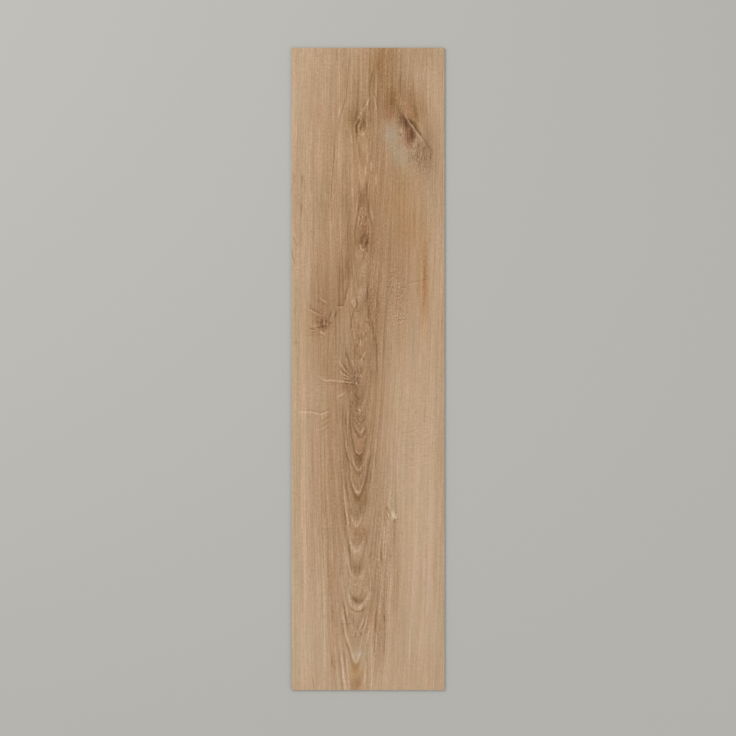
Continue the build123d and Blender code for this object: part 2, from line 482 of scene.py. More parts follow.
        ("dark line", 367.6, 286, 367.4, 303, 1.3, 0, 0.54),
        ("dark line's thick foot", 368, 304.4, 368.6, 319, 2.1, 0, 0.46),
        ("dark line's curl", 365.6, 322.2, 368, 322.6, 1.1, -0.6, 0.42),
        ("dark line's end", 369, 321.6, 369.4, 325.6, 1.3, 0, 0.50),
        ("second dark line", 372.2, 319.4, 373, 334.6, 1.3, 0, 0.72),
        ("third dark line", 375.8, 335, 376.8, 356, 1.3, 0, 0.60),
        ("third dark line, end", 376.6, 354, 377.4, 374, 1.2, 0, 0.46),
        ("fourth dark line", 370, 368, 371.8, 384, 1.1, 0, 0.16),
        ("dark fleck beside the second line", 374, 336.6, 373.6, 341, 1.1, 0, 0.30),
        ("pale line left of them", 365.9, 283, 364.3, 297, 1.0, 0, -0.40),
        ("second pale line left of them", 361.4, 284, 358.9, 300, 0.9, 0, -0.34),
        ("pale line at the squiggle", 354.5, 268, 351.5, 297, 1.1, 0.6, -0.18),
    ],
    "over the star knot": [
        ("dark fleck", 357.9, 335, 359.3, 342, 1.2, 0, 0.50),
        ("second fleck", 361.4, 334, 361.6, 342, 1.0, 0, 0.48),
        ("third fleck", 365.6, 331.6, 364.6, 338, 1.3, 0, 0.54),
        ("fourth fleck", 355, 344, 354.8, 359, 1.1, 0, 0.46),
        ("fifth fleck", 357.7, 342, 357.5, 349, 1.2, 0, 0.44),
        ("pale fleck", 360.3, 339.4, 360.6, 345.6, 1.0, 0, -0.62),
        ("second pale fleck", 366.5, 335.6, 366.4, 341, 1.0, 0, -0.28),
        ("third pale fleck", 363.3, 331.4, 363.4, 335.4, 1.1, 0, -0.46),
    ],
    "star knot": [
        ("long ray, dark", 345.8, 349.4, 351, 367.8, 1.7, 0.5, 0.46),
        ("long ray, pale", 345.9, 357, 346.7, 365, 1.0, 0, -0.52),
        ("right pale ray", 351.4, 358.6, 355.6, 368.6, 1.3, 0.3, -0.30),
        ("second ray, pale", 339, 360.6, 344.8, 370.4, 1.2, 0.4, -0.40),
        ("second ray's foot, pale", 344.9, 369.8, 350.1, 376.4, 1.1, 0.4, -0.24),
        ("second ray, dark", 342.8, 362.8, 346.4, 369.6, 1.0, 0, 0.34),
        ("first bead", 344.6, 365.6, 344.8, 367.6, 1.2, 0, 0.36),
        ("second bead", 346, 368.4, 347.4, 369, 1.2, 0, 0.56),
        ("third bead", 347.4, 371.2, 348.6, 372.2, 1.1, 0, 0.44),
        ("third ray, dark", 339.8, 368.4, 349.8, 376.4, 1.1, 0.5, 0.60),
        ("third ray, pale", 340.9, 372.3, 349.9, 377.5, 1.0, 0.6, -0.50),
        ("fourth ray, dark", 342.6, 374.8, 348.8, 378.4, 1.0, 0.4, 0.42),
        ("fourth ray, pale", 343, 377.6, 349.6, 379.6, 1.0, 0, -0.42),
        ("fifth ray, dark", 343.6, 379.8, 350.6, 381.2, 1.0, 0, 0.74),
        ("right ray, pale", 364.8, 351.6, 361.2, 361, 1.2, 0, -0.46),
        ("right ray, dark", 360.6, 355.6, 360.2, 358.6, 1.3, 0, 0.52),
        ("second right ray, dark", 363.9, 357, 363.3, 360, 1.2, 0, 0.70),
        ("dark rim", 361, 367.4, 361.6, 373, 1.3, 0, 0.50),
        ("first dot", 355.5, 371.8, 355.5, 374.2, 1.3, 0, 0.72),
        ("second dot", 357.7, 371.8, 357.3, 373.2, 1.2, 0, 0.60),
        ("third dot", 354.2, 376.4, 354.6, 378.2, 1.2, 0, 0.58),
        ("fourth dot", 358.5, 377.6, 358.3, 380, 1.3, 0, 0.34),
        ("fifth dot", 354.6, 380.8, 354.2, 382.4, 1.2, 0, 0.46),
        ("sixth dot", 354, 383.4, 354.2, 385, 1.3, 0, 0.60),
        ("seventh dot", 358.8, 381.6, 358.6, 383.6, 1.3, 0, 0.66),
        ("eighth dot", 356, 386.4, 356.2, 388, 1.3, 0, 0.28),
        ("first pale dot", 355.4, 375.4, 355.6, 377, 1.1, 0, -0.46),
        ("second pale dot", 357.7, 373.8, 357.5, 375.4, 1.0, 0, -0.50),
        ("third pale dot", 356.4, 382.4, 356.8, 384.4, 1.3, 0, -0.70),
        ("fourth pale dot", 360.6, 374, 361.2, 377.4, 1.0, 0, -0.46),
        ("fifth pale dot", 356.2, 378.8, 356.2, 380.4, 1.0, 0, -0.36),
    ],
    "crack": [
        ("outer end", 319.5, 376.5, 324.5, 379.8, 1.1, 0.4, -0.40),
        ("middle", 324, 380.2, 337, 380.7, 1.15, 0, -0.54),
        ("first bead", 338.6, 381.3, 340.4, 381.5, 1.4, 0, -0.84),
        ("second bead", 341.8, 381.6, 343.4, 381.6, 1.4, 0, -0.80),
        ("inner end", 343.6, 381.3, 353, 383.2, 1.0, 0, -0.42),
        ("shadow", 324, 382, 343.4, 383.2, 0.9, 0, 0.16),
        ("dark inner shadow", 343.6, 383.3, 353.4, 384.3, 1.1, 0, 0.54),
        ("slant under it, pale", 337.4, 397.2, 343.4, 393.6, 1.3, 0, -0.46),
        ("slant under it, upper end", 343, 393.6, 346.5, 391.8, 0.95, 0, -0.26),
        ("slant under it, shadow", 339, 398.4, 342.8, 396.4, 1.2, 0, 0.36),
    ],
    "under the star knot": [
        ("dark line", 355.5, 384, 357, 395, 1.3, 0, 0.20),
        ("dark comma", 354.8, 393.4, 359.2, 399.4, 1.6, 0.5, 0.56),
        ("dark line to the beads", 356.6, 397, 356.2, 411, 1.2, 0, 0.26),
        ("first bead under the comma", 356.7, 410, 356.9, 412, 1.5, 0, 0.80),
        ("second bead under the comma", 360.8, 412.2, 362.4, 412.8, 1.4, 0, 0.88),
        ("pale bead between them", 358, 408.8, 360.6, 411.2, 1.3, 0, -0.72),
        ("dark line over the arches", 352.4, 401, 352.6, 405, 1.3, 0, 0.36),
        ("first dash over the arches", 357.9, 415.2, 359.1, 417.2, 1.2, 0, 0.60),
        ("second dash over the arches", 360.8, 415, 362.4, 416.6, 1.1, 0, 0.44),
    ],
    "wave": [
        ("pale start", 298.5, 412.2, 311.5, 412.2, 1.0, 0, -0.28),
        ("pale middle", 311.5, 412.2, 320.5, 414.7, 1.0, 0, -0.30),
        ("pale end", 320, 414.8, 328.6, 411.1, 0.95, 0.5, -0.42),
        ("dark start", 299.5, 410.2, 311.5, 410, 0.8, 0, 0.18),
        ("dark middle", 311.5, 410, 320.5, 412.6, 0.8, 0, 0.26),
        ("dark end", 320.5, 412.4, 328.6, 408.5, 0.9, 0.5, 0.42),
        ("first ripple", 321, 420.8, 329.2, 416.6, 0.9, 0.4, 0.34),
        ("second ripple", 321.2, 425.8, 329.8, 421.2, 0.9, 0.4, 0.36),
        ("third ripple", 321.6, 431.2, 329, 426.4, 0.9, 0.4, 0.28),
        ("fourth ripple", 322, 436, 329, 431.4, 0.9, 0.4, 0.16),
        ("pale ripple", 313.7, 430.5, 326.7, 426.6, 0.9, 0.8, -0.22),
    ],
    "stems over the arches": [
        ("dark upper left line", 344, 432, 344.6, 441, 1.2, 0, 0.24),
        ("first left stem", 345.7, 413, 345.6, 432, 1.1, 0, 0.34),
        ("second left stem", 349.6, 411, 350, 432, 1.2, 0, 0.36),
        ("third left stem", 342.6, 408, 342.4, 432, 1.0, 0, 0.26),
        ("pale left stem", 347.6, 408, 347.4, 432, 1.1, 0, -0.30),
        ("pale stem in the middle left", 351, 418, 351.6, 430, 1.0, 0, -0.18),
        ("pale fleck at the left", 344.6, 409, 344.6, 417, 1.0, 0, -0.26),
        ("far right stem, first", 371.4, 421, 371.6, 436, 1.2, 0, 0.26),
        ("far right stem, second", 373.8, 424, 373.8, 432, 1.0, 0, 0.24),
        ("right stem, dark", 364.9, 422, 364.9, 432, 1.1, 0, 0.40),
        ("right stem, pale", 367.9, 424, 367.9, 432, 0.9, 0, -0.24),
    ],
    "third and fourth arches": [
        ("pale left line", 345.6, 438, 350, 460, 1.2, 0.6, -0.36),
        ("dark left line", 345.8, 450, 348.8, 463, 1.2, 0.4, 0.62),
        ("third arch, dark left leg", 349.7, 416, 351.4, 436, 1.4, 0, 0.46),
        ("third arch, dark left leg's foot", 351.2, 434, 355, 451, 1.5, 0.4, 0.56),
        ("third arch, dark right leg", 366.4, 436, 363.4, 452, 1.4, -0.5, 0.28),
        ("fourth arch, pale left leg", 351.4, 450, 354.2, 463, 1.3, 0, -0.30),
        ("fourth arch, pale right leg", 366.2, 450, 363, 462, 1.3, 0, -0.18),
        ("dark right stem", 370.4, 440, 370.2, 452, 1.0, 0, 0.26),
    ],
    "fifth arch": [
        ("first right stem", 371.6, 453, 367.4, 471, 1.9, 0.4, 0.34),
        ("second right stem", 370.6, 468, 370.8, 479, 1.2, 0, 0.24),
        ("third right stem", 366.8, 493, 365, 507, 1.4, 0, 0.12),
        ("first inner dash", 355, 480, 355.2, 486, 0.9, 0, 0.48),
        ("second inner dash", 357.4, 482, 357.4, 488, 0.9, 0, 0.30),
        ("third inner dash", 360.9, 479, 360.7, 485, 0.9, 0, 0.36),
        ("bright tip", 356, 491.2, 359, 491.4, 1.6, 0, -0.62),
        ("dark left leg", 348.9, 462, 350.2, 478, 1.5, 0, 0.40),
        ("pale left leg", 350.5, 462, 351.3, 478, 1.2, 0.3, -0.54),
        ("pale right leg", 366.2, 462, 364.4, 478, 1.2, -0.3, -0.38),
        ("dark right leg", 367.6, 468, 364.9, 484, 1.7, -0.4, 0.28),
        ("dark outer left leg", 345, 480, 347.6, 500, 1.6, 0, 0.32),
        ("pale outer left leg", 347.4, 470, 349.2, 490, 1.2, 0, -0.16),
        ("pale outer left leg, lower", 343.4, 484, 344.6, 502, 1.2, 0, -0.36),
        ("dark far right stem", 373.4, 446, 373.4, 462, 1.0, 0, 0.20),
        ("low right stem", 370.6, 474, 370.8, 486, 1.6, 0, 0.26),
        ("fine far right stem", 375.4, 446, 375.6, 464, 0.9, 0, 0.20),
    ],
    "sixth arch": [
        ("olive fill, dark foot", 361, 502, 359.6, 511, 1.3, 0, 0.42),
        ("olive fill, second foot", 357.6, 512, 357.6, 521, 1.3, 0, 0.36),
        ("long left line, pale", 345.2, 502, 348.2, 524, 1.2, 0.4, -0.46),
        ("long left line's foot, pale", 346.8, 522, 348.6, 534, 1.0, 0, -0.28),
        ("long left line, dark", 344.6, 510, 346.2, 526, 1.4, 0, 0.42),
        ("inner left line, dark", 348.8, 510, 350.2, 528, 1.4, 0, 0.54),
        ("dark right side of the reddish fill", 366.2, 534, 366.6, 544, 1.4, 0, 0.24),
        ("fleck right of the reddish fill", 364.6, 528, 364.4, 536, 1.2, 0, 0.24),
        ("first tooth", 355.4, 520.6, 355.6, 526.4, 0.9, 0, -0.34),
        ("second tooth", 357.7, 520.6, 357.6, 526.6, 0.9, 0, -0.34),
        ("pale left side", 351.4, 515, 353.2, 523, 1.2, 0, -0.22),
        ("pale right side", 362, 515, 360.2, 523, 1.2, 0, -0.20),
        ("stem left of the reddish fill", 344.8, 527, 346, 537, 1.1, 0, 0.26),
    ],
    "seventh and eighth arches": [
        ("left line, pale", 349.4, 533, 352.2, 551, 1.2, 0.4, -0.30),
        ("left line, dark", 347.6, 538, 350.6, 557, 1.4, 0.4, 0.30),
        ("lower left line, pale", 347.8, 556, 352.2, 579, 1.2, 0.6, -0.28),
        ("lower left line, dark", 346.6, 564, 349.6, 578.4, 1.3, 0.4, 0.44),
        ("inner left line, dark", 349.8, 560, 351, 571, 1.2, 0, 0.24),
        ("right line, pale", 369.6, 566, 369, 575, 1.1, 0, -0.42),
        ("right fleck, dark", 371, 552, 370.2, 558, 1.2, 0, 0.32),
        ("grey fill, dark fleck", 359.6, 565, 358.8, 572, 1.4, 0, 0.40),
        ("far right line, dark", 381, 530, 384, 580, 1.0, 0, 0.18),
        ("upper left stem, dark", 342.4, 540, 342.6, 552, 1.0, 0, 0.30),
        ("upper left stem, pale", 344, 544, 344.4, 556, 1.1, 0, -0.24),
        ("lower left stem, dark", 348.8, 544, 350, 560, 1.2, 0, 0.36),
        ("lower left stem, pale", 346.6, 552, 348.4, 566, 1.0, 0, -0.12),
        ("stem left of the grey fill", 334.4, 560, 334.6, 576, 1.1, 0, 0.08),
        ("second stem left of the grey fill", 340.2, 566, 340.4, 576, 1.3, 0, 0.24),
        ("third stem left of the grey fill, pale", 331.8, 552, 331.8, 564, 1.0, 0, -0.10),
        ("far right stem, first", 381.6, 548, 381.8, 566, 1.1, 0, 0.30),
        ("far right stem, second", 381, 552, 381.2, 560, 1.3, 0, 0.42),
        ("far right stem, third", 377.6, 560, 377.6, 572, 1.1, 0, 0.12),
        ("far right stem, pale", 378.8, 540, 379, 560, 1.1, 0, -0.18),
        ("pale right stem", 373.4, 561, 373.2, 570, 1.0, 0, -0.12),
        ("level line under the grey fill", 352, 576.6, 366, 576.4, 0.8, 0, -0.12),
        ("second level line", 352, 584.4, 362, 584.6, 0.9, 0, -0.20),
        ("third level line", 353, 580.6, 364, 580.4, 0.8, 0, 0.12),
    ],
    "comb": [
        ("first line", 369.4, 587, 369.4, 592, 0.8, 0, 0.60),
        ("second line", 371.4, 586, 371.4, 592, 0.8, 0, 0.40),
        ("third line", 375.1, 587, 375.1, 592, 0.8, 0, 0.26),
        ("stem over it", 371.6, 576, 372, 586, 1.0, 0, 0.30),
        ("stem at its right", 378.4, 592, 378.4, 604, 1.3, 0, 0.20),
        ("second stem at its right", 381.4, 594, 381.6, 604, 1.1, 0, 0.30),
    ],
    "low arch": [
        ("pale left wall", 348.5, 586, 349.3, 600, 1.6, 0, -0.24),
        ("dark left wall", 348.4, 588, 349, 602, 1.1, 0, 0.18),
        ("pale right wall", 367.4, 586, 366.4, 600, 1.6, 0, -0.24),
        ("dark right wall", 368.4, 600, 366, 610, 1.2, 0, 0.26),
        ("left line, dark", 343.8, 602.2, 347.4, 625.2, 1.3, 0.6, 0.52),
        ("left line, pale", 346.4, 604, 347.8, 615, 1.3, 0, -0.36),
        ("second left line, pale", 342, 606, 343.6, 622, 1.0, 0, -0.26),
        ("right arm, pale", 367, 616.6, 363.4, 631.4, 1.3, -0.3, -0.50),
        ("right arm, dark", 365.2, 619, 361.2, 629, 1.2, -0.3, 0.26),
        ("second right arm, pale", 363.2, 619.6, 358.6, 630.2, 1.2, -0.3, -0.30),
        ("third right arm, pale", 376.4, 603, 374, 617, 1.1, 0, -0.32),
        ("fourth right arm, pale", 370, 624, 367.4, 641, 1.1, 0, -0.34),
        ("fleck inside", 355.6, 632.6, 355.4, 637.6, 1.2, 0, 0.56),
        ("second fleck inside", 357.6, 626, 357.6, 631, 1.1, 0, 0.30),
        ("third fleck inside", 360.4, 631.6, 361.2, 635.6, 1.2, 0, 0.36),
        ("level mark at its left", 336, 624, 353.4, 623.6, 0.9, 0, 0.26),
        ("dark line at its right", 376.4, 605, 375.4, 634, 1.3, 0, 0.38),
        ("darkest part of that line", 375.2, 621, 375, 631, 1.5, 0, 0.22),
        ("dark line further right", 384.8, 606, 384.4, 664, 0.9, 0, 0.26),
        ("darkest part of the line further right", 384.4, 614.6, 384.4, 622.6, 1.4, 0, 0.55),
        ("fleck between the two lines", 379.6, 624, 379.4, 631, 1.3, 0, 0.34),
        ("comb inside, first", 348.6, 612, 348.8, 618, 0.8, 0, 0.28),
        ("comb inside, second", 353.4, 614, 353.6, 623, 0.9, 0, 0.34),
        ("dark stem at its right", 371.4, 602, 371, 612, 1.2, 0, 0.22),
        ("pale stem at its right", 373, 616, 372.4, 632, 1.1, 0, -0.22),
    ],
    "foot arch": [
        ("left leg, pale", 343.4, 614, 345.8, 634, 1.3, 0, -0.36),
        ("left leg's foot, pale", 345.2, 633, 351.6, 651, 1.5, 0, -0.46),
        ("left leg, dark", 341.8, 622, 344.8, 638, 1.5, 0.3, 0.38),
        ("left leg's foot, dark", 343.8, 637, 349.8, 654, 1.6, 0, 0.36),
        ("right leg, pale", 362.4, 636, 359.8, 650, 1.3, 0, -0.36),
        ("inner left leg, dark", 344.7, 614, 348.1, 630, 1.2, 0, 0.30),
        ("inner left leg, pale", 348.8, 612, 352.4, 628, 1.0, 0, -0.20),
        ("dark fleck at the left leg", 346.7, 620, 346.9, 626, 1.1, 0, 0.20),
        ("outer left leg, pale", 338.6, 638, 342, 662, 1.2, 0, -0.22),
        ("outer left leg's foot, pale", 341.8, 656, 345.3, 690, 1.2, 0.3, -0.27),
        ("outer left leg, dark", 339.4, 652, 342.8, 690, 1.2, 0.4, 0.26),
        ("second left leg, pale", 346, 652, 349.8, 690, 1.3, 0.4, -0.36),
        ("second left leg, dark", 343, 652, 346.6, 676, 1.2, 0, 0.28),
        ("third left leg, dark", 349.6, 654, 353, 668, 1.3, 0, 0.32),
        ("right leg, dark", 361.2, 655, 357, 666, 1.3, 0, 0.08),
        ("right stem, pale", 371.8, 640, 371.6, 690, 1.1, 0, -0.28),
        ("right stem, dark", 367.6, 650, 367.2, 690, 1.2, 0, 0.22),
        ("pale stem right of the tongue", 365, 658, 364.6, 690, 2.0, 0, -0.16),
        ("far right stem, dark", 374.2, 636, 374.4, 656, 1.3, 0, 0.32),
        ("second far right stem", 378.8, 640, 379, 652, 1.0, 0, 0.20),
        ("third far right stem", 383.8, 640, 384, 654, 1.2, 0, 0.26),
        ("far right stem, pale", 376.6, 640, 377, 654, 1.0, 0, -0.10),
        ("far left stem, dark", 331.8, 654, 332.2, 666, 1.4, 0, 0.34),
        ("second far left stem", 334.8, 664, 335, 672, 1.2, 0, 0.24),
        ("third far left stem", 332.4, 606, 332.6, 622, 1.1, 0, 0.16),
        ("far left stem, pale", 333.6, 626, 333.6, 646, 1.0, 0, -0.20),
        ("far left stem, pale, low", 334.6, 640, 335, 654, 1.1, 0, -0.20),
    ],
    "pale knot": [
        ("dark foot", 394.3, 518.8, 394.9, 523, 1.4, 0, 0.58),
        ("long line", 395, 524, 394.5, 548, 0.9, 0, 0.32),
        ("dark shoulder", 388.2, 506, 388.2, 512.8, 1.3, 0, 0.42),
        ("upper pale fleck", 389.3, 505.4, 389.8, 508.8, 1.1, 0, -0.56),
        ("pale fleck over the foot", 395.7, 516, 396, 518.8, 1.1, 0, -0.40),
        ("dark left rim", 390.4, 512.4, 390.4, 516.6, 1.1, 0, 0.40),
        ("slant at its left", 386.6, 513.4, 388.8, 519.8, 1.2, 0, 0.42),
        ("pale fleck at its left", 388.4, 513.4, 388.5, 517, 1.2, 0, -0.34),
        ("stem at its left", 384.5, 509, 384.5, 525, 1.2, 0, 0.36),
        ("upper fleck", 386.5, 506.6, 386.5, 510.4, 1.2, 0, 0.46),
        ("dark top", 395.6, 512.6, 397, 512.6, 1.2, 0, 0.56),
        ("dot at its right", 397.5, 518.6, 397.5, 520.2, 1.2, 0, 0.60),
        ("fleck at its right", 401, 532, 403, 535, 1.4, 0, 0.32),
    ],
    "long lines": [
        ("short line at the foot, left", 312.5, 678, 314, 690, 0.9, 0, 0.48),
        ("pale line, left, foot half", 324.2, 500, 324.8, 690, 1.5, 0, -0.14),
        ("dark line beside it", 327.6, 505, 328, 690, 1.0, 0, 0.16),
        ("pale line, left rim", 304.8, 300, 304.8, 690, 1.6, 0, -0.08),
        ("dark line, left rim", 300.2, 60, 300.4, 690, 1.3, 0, 0.06),
        ("pale line, right, middle", 397, 380, 397.5, 500, 1.0, 0, -0.12),
        ("pale line, right foot", 409.5, 630, 409, 662, 1.0, 0, -0.18),
    ],
}

# Growth rings come to a tip here. Name, across and down of the tip, how steep the
# legs are, how round the tip is, length of the legs, width, and brown ink.
ARCHES = [
    ("first, dark", 361, 422.6, 2.0, 4, 6, 1.3, 0.36),
    ("second, pale", 360.3, 432.4, 5.0, 40, 8, 1.3, -0.44),
    ("second, dark", 360.3, 436.8, 5.0, 52, 13, 1.7, 0.42),
    ("third, pale", 359.4, 453.6, 6.0, 75, 10, 1.4, -0.50),
    ("third, dark", 358.9, 456.4, 5.8, 50, 15, 1.8, 0.44),
    ("fourth, pale", 359, 470, 4.0, 28, 18, 1.6, -0.38),
    ("fourth, dark", 358.6, 474, 4.0, 28, 14, 1.6, 0.20),
    ("fifth, pale", 357.8, 493.2, 7.0, 60, 15, 1.6, -0.62),
    ("fifth, dark", 357.8, 498.2, 4.6, 28, 20, 2.2, 0.45),
    ("sixth, pale", 356.6, 526.6, 2.6, 4, 10, 1.7, -0.34),
    ("sixth, dark", 357, 545.4, 2.5, 9, 8, 1.6, 0.20),
    ("seventh, pale", 356.4, 551.5, 2.0, 4, 12, 2.0, -0.16),
    ("seventh, dark", 357, 574, 2.0, 4, 12, 1.8, 0.08),
    ("eighth, pale", 357, 580, 1.7, 4, 12, 1.8, -0.18),
    ("ninth, dark", 358.6, 602.2, 4.0, 50, 9, 2.8, 0.34),
    ("ninth, pale", 358.4, 607.8, 4.0, 50, 12, 2.8, -0.26),
    ("tenth, dark", 358, 611.8, 3.0, 60, 5, 1.4, 0.42),
    ("foot arch, pale", 355.8, 662, 3.3, 6, 12, 2.0, -0.24),
    ("foot arch, dark", 356, 667.6, 3.2, 6, 24, 1.8, 0.16),
]

# Knots part the grain. Name, across, down, reach across, reach along, push sideways.
KNOTS = [
    ("eye knot", 361, 125, 9, 25, 4),
    ("big knot", 409, 130, 14, 28, 8),
    ("small knot", 364, 240, 9, 30, 5.5),
    ("dark knot", 324, 323, 7, 16, 4),
    ("squiggle", 354.5, 304, 4, 9, 2),
    ("star knot", 355, 378, 8, 20, 4),
    ("pale knot", 393, 514, 5, 11, 2.5),
]

# Fields with a stronger or calmer grain. Name, across, down, half width, half length,
# and how much stronger.
GRAIN_FIELDS = [
    ("amber field", 404, 205, 22, 50, -0.5),
    ("brown field left of the column", 328, 288, 9, 34, -0.8),
    ("dark column", 341, 285, 6, 24, -0.7),
    ("left middle", 314, 345, 14, 60, -0.5),
    ("ripples", 400, 290, 14, 50, -0.9),
    ("centre under the small knot", 370, 288, 12, 32, 1.2),
    ("over the arches", 358, 418, 8, 14, 0.5),
    ("low arches", 356, 600, 14, 34, 0.9),
    ("right of centre, foot", 384, 560, 9, 46, 1.3),
    ("right of centre", 385, 400, 8, 40, -0.5),
    ("left foot", 314, 560, 14, 46, 0.4),
    ("right flank, upper end", 422, 74, 16, 24, 0.3),
]

# Patches with small leaning blots. Name, across, down, half width, half length, ink.
SPECKLES = [
    ("speckle under the big knot", 420, 156, 11, 14, 0.46),
    ("speckle, foot", 421, 174, 12, 9, 0.32),
    ("speckle, left end", 410, 150, 5, 5, 0.36),
    ("big knot", 409, 131, 8, 12, 0.30),
    ("ripples", 398, 300, 12, 32, 0.44),
    ("ripples, head", 396, 285, 8, 9, 0.52),
    ("ripples, foot", 398, 317, 8, 6, 0.60),
    ("over the ripples", 391, 269, 5, 9, 0.30),
    ("under the stain at the head", 391, 92, 9, 8, 0.24),
    ("star knot", 357, 380, 6, 13, 0.30),
    ("over the arches", 359, 418, 7, 8, 0.50),
    ("olive fill", 357, 505, 5, 9, 0.26),
    ("pale knot", 388, 512, 9, 26, 0.24),
    ("over the pale knot", 388, 480, 8, 20, 0.20),
    ("flame", 364, 218, 5, 12, 0.30),
    ("dark knot", 321, 320, 10, 12, 0.26),
    ("star knot, shoulder", 346, 372, 9, 10, 0.22),
]

# Patches with fine saw marks across the grain. Name, across, down, half width, half
# length.
SAW_MARKS = [
    ("head, left", 315, 64, 21, 12),
    ("left flank, head half", 317, 142, 13, 9),
    ("silver patch", 389, 138, 12, 11),
    ("left rim", 298, 264, 6, 16),
    ("left flank, middle", 309, 396, 14, 18),
    ("under the crack", 325, 387, 10, 9),
    ("reddish strip", 373, 306, 8, 24),
    ("dark knot", 318, 320, 12, 20),
    ("under the grey fill", 358, 584, 10, 10),
    ("right flank, middle", 418, 436, 21, 37),
]


def on_face(across, down):
    """A place on the photograph as millimetres on the face, from its middle."""
    x = (across - FACE_LEFT) / (FACE_RIGHT - FACE_LEFT) - 0.5
    y = 0.5 - (down - FACE_HEAD) / (FACE_FOOT - FACE_HEAD)
    return x * 2 * HALF_WIDTH / MILLIMETRE, y * 2 * HALF_LENGTH / MILLIMETRE


def every_entry(features):
    """The entries of all the features, one after the other."""
    for entries in features.values():
        yield from entries


def millimetres(*pixels):
    """Widths on the photograph as millimetres on the face."""
    return [MILLIMETRES_PER_PIXEL * width for width in pixels]


class Field:
    """A number that varies over the plank, held by a node's socket, with plain arithmetic."""

    def __init__(self, socket):
        self.socket = socket

    def compute(self, operation, *others):
        """One arithmetic node's result, from this field and the others."""
        return calculate(self.socket.id_data, operation, self, *others)

    def __add__(self, other):
        return self.compute("ADD", other)

    def __sub__(self, other):
        return self.compute("SUBTRACT", other)

    def __mul__(self, other):
        return self.compute("MULTIPLY", other)

    def __truediv__(self, other):
        return self.compute("DIVIDE", other)

    def times_plus(self, factor, rest):
        """The field times the factor, plus the rest."""
        return self.compute("MULTIPLY_ADD", factor, rest)


def connect(value, socket):
    """Gives a node's input a field, or a plain number."""
    if isinstance(value, Field):
        socket.id_data.links.new(value.socket, socket)
    else:
        socket.default_value = value


def calculate(tree, operation, *values):
    """The result of one arithmetic node."""
    node = tree.nodes.new("ShaderNodeMath")
    node.operation = operation
    for place, value in enumerate(values):
        connect(value, node.inputs[place])
    return Field(node.outputs[0])


def falling(square):
    """1 where the field is nought, and the negative exponential of it elsewhere."""
    return calculate(square.socket.id_data, "POWER", math.exp(-1), square)


def rising(field, start, end):
    """0 up to start, 1 from end on, and smooth between them."""
    tree = field.socket.id_data
    node = tree.nodes.new("ShaderNodeMapRange")
    node.interpolation_type = "SMOOTHSTEP"
    connect(field, node.inputs["Value"])
    node.inputs["From Min"].default_value = start
    node.inputs["From Max"].default_value = end
    return Field(node.outputs[0])


def noise(x, y, across, along, seed, detail=1.0, roughness=0.5):
    """Soft random values around nought, with so many lumps per unit of x and of y."""
    tree = x.socket.id_data
    place = tree.nodes.new("ShaderNodeCombineXYZ")
    connect(x * across, place.inputs[0])
    connect(y * along, place.inputs[1])
    connect(seed, place.inputs[2])
    node = tree.nodes.new("ShaderNodeTexNoise")
    tree.links.new(place.outputs[0], node.inputs["Vector"])
    node.inputs["Scale"].default_value = 1.0
    node.inputs["Detail"].default_value = detail
    node.inputs["Roughness"].default_value = roughness
    return Field(node.outputs[0]).times_plus(4.0, -2.0)


def slanted(x, y, slope_x, slope_y, start):
    """A field that rises evenly in one direction."""
    return x.times_plus(slope_x, y.times_plus(slope_y, start))


def shared_steps(tree, steps, values):
    """Runs the steps on the values inside a node group, which all calls of its kind share."""
    kind = tree.bl_idname
    name = f"{steps.__name__}_{kind}"
    group = bpy.data.node_groups.get(name)
    if group is None:
        group = bpy.data.node_groups.new(name, kind)
        for place in range(len(values)):
            group.interface.new_socket(f"Value {place}", in_out="INPUT", socket_type="NodeSocketFloat")
        group.interface.new_socket("Result", in_out="OUTPUT", socket_type="NodeSocketFloat")
        start = group.nodes.new("NodeGroupInput")
        end = group.nodes.new("NodeGroupOutput")
        result = steps(*[Field(socket) for socket in start.outputs[: len(values)]])
        group.links.new(result.socket, end.inputs[0])
    node = tree.nodes.new(kind.replace("NodeTree", "NodeGroup"))
    node.node_tree = group
    for place, value in enumerate(values):
        connect(value, node.inputs[place])
    return Field(node.outputs[0])


def oval_steps(x, y, wide_x, wide_y, wide_start, long_x, long_y, long_start):
    """The sums behind an oval: how far across and along it a place is, in half sizes."""
    u = x.times_plus(wide_x, y.times_plus(wide_y, wide_start))
    v = x.times_plus(long_x, y.times_plus(long_y, long_start))
    return falling(u.times_plus(u, v * v))


def oval(x, y, across, along, half_width, half_length, turn=0.0):
    """1 at the middle of an oval, and fading to nothing outside it."""
    c = math.cos(math.radians(turn))
    s = math.sin(math.radians(turn))
    wide = (c / half_width, s / half_width, -(across * c + along * s) / half_width)
    long = (-s / half_length, c / half_length, (across * s - along * c) / half_length)
    return shared_steps(x.socket.id_data, oval_steps, (x, y, *wide, *long))


def stroke_steps(x, y, total, long_x, long_y, long_start, wide_x, wide_y, wide_start, swing, ink):
    """The sums behind a stroke: how far along it and beside it a place is."""
    u = x.times_plus(long_x, y.times_plus(long_y, long_start))
    far = u * u
    v = far.times_plus(swing, x.times_plus(wide_x, y.times_plus(wide_y, wide_start)))
    return falling(far.times_plus(far, v * v)).times_plus(ink, total)


def stroke(x, y, total, ends, width, swing, ink):
    """The total with a bowed line added, which fades beside it and past its ends."""
    x0, y0, x1, y1 = ends
    half = math.hypot(x1 - x0, y1 - y0) / 2
    c = (x1 - x0) / (2 * half)
    s = (y1 - y0) / (2 * half)
    middle_x = (x0 + x1) / 2
    middle_y = (y0 + y1) / 2
    reach = width / WIDTH_IN_REACHES
    long = (c / half, s / half, -(middle_x * c + middle_y * s) / half)
    wide = (-s / reach, c / reach, (middle_x * s - middle_y * c + swing) / reach)
    return shared_steps(x.socket.id_data, stroke_steps, (x, y, total, *long, *wide, -swing / reach, ink))


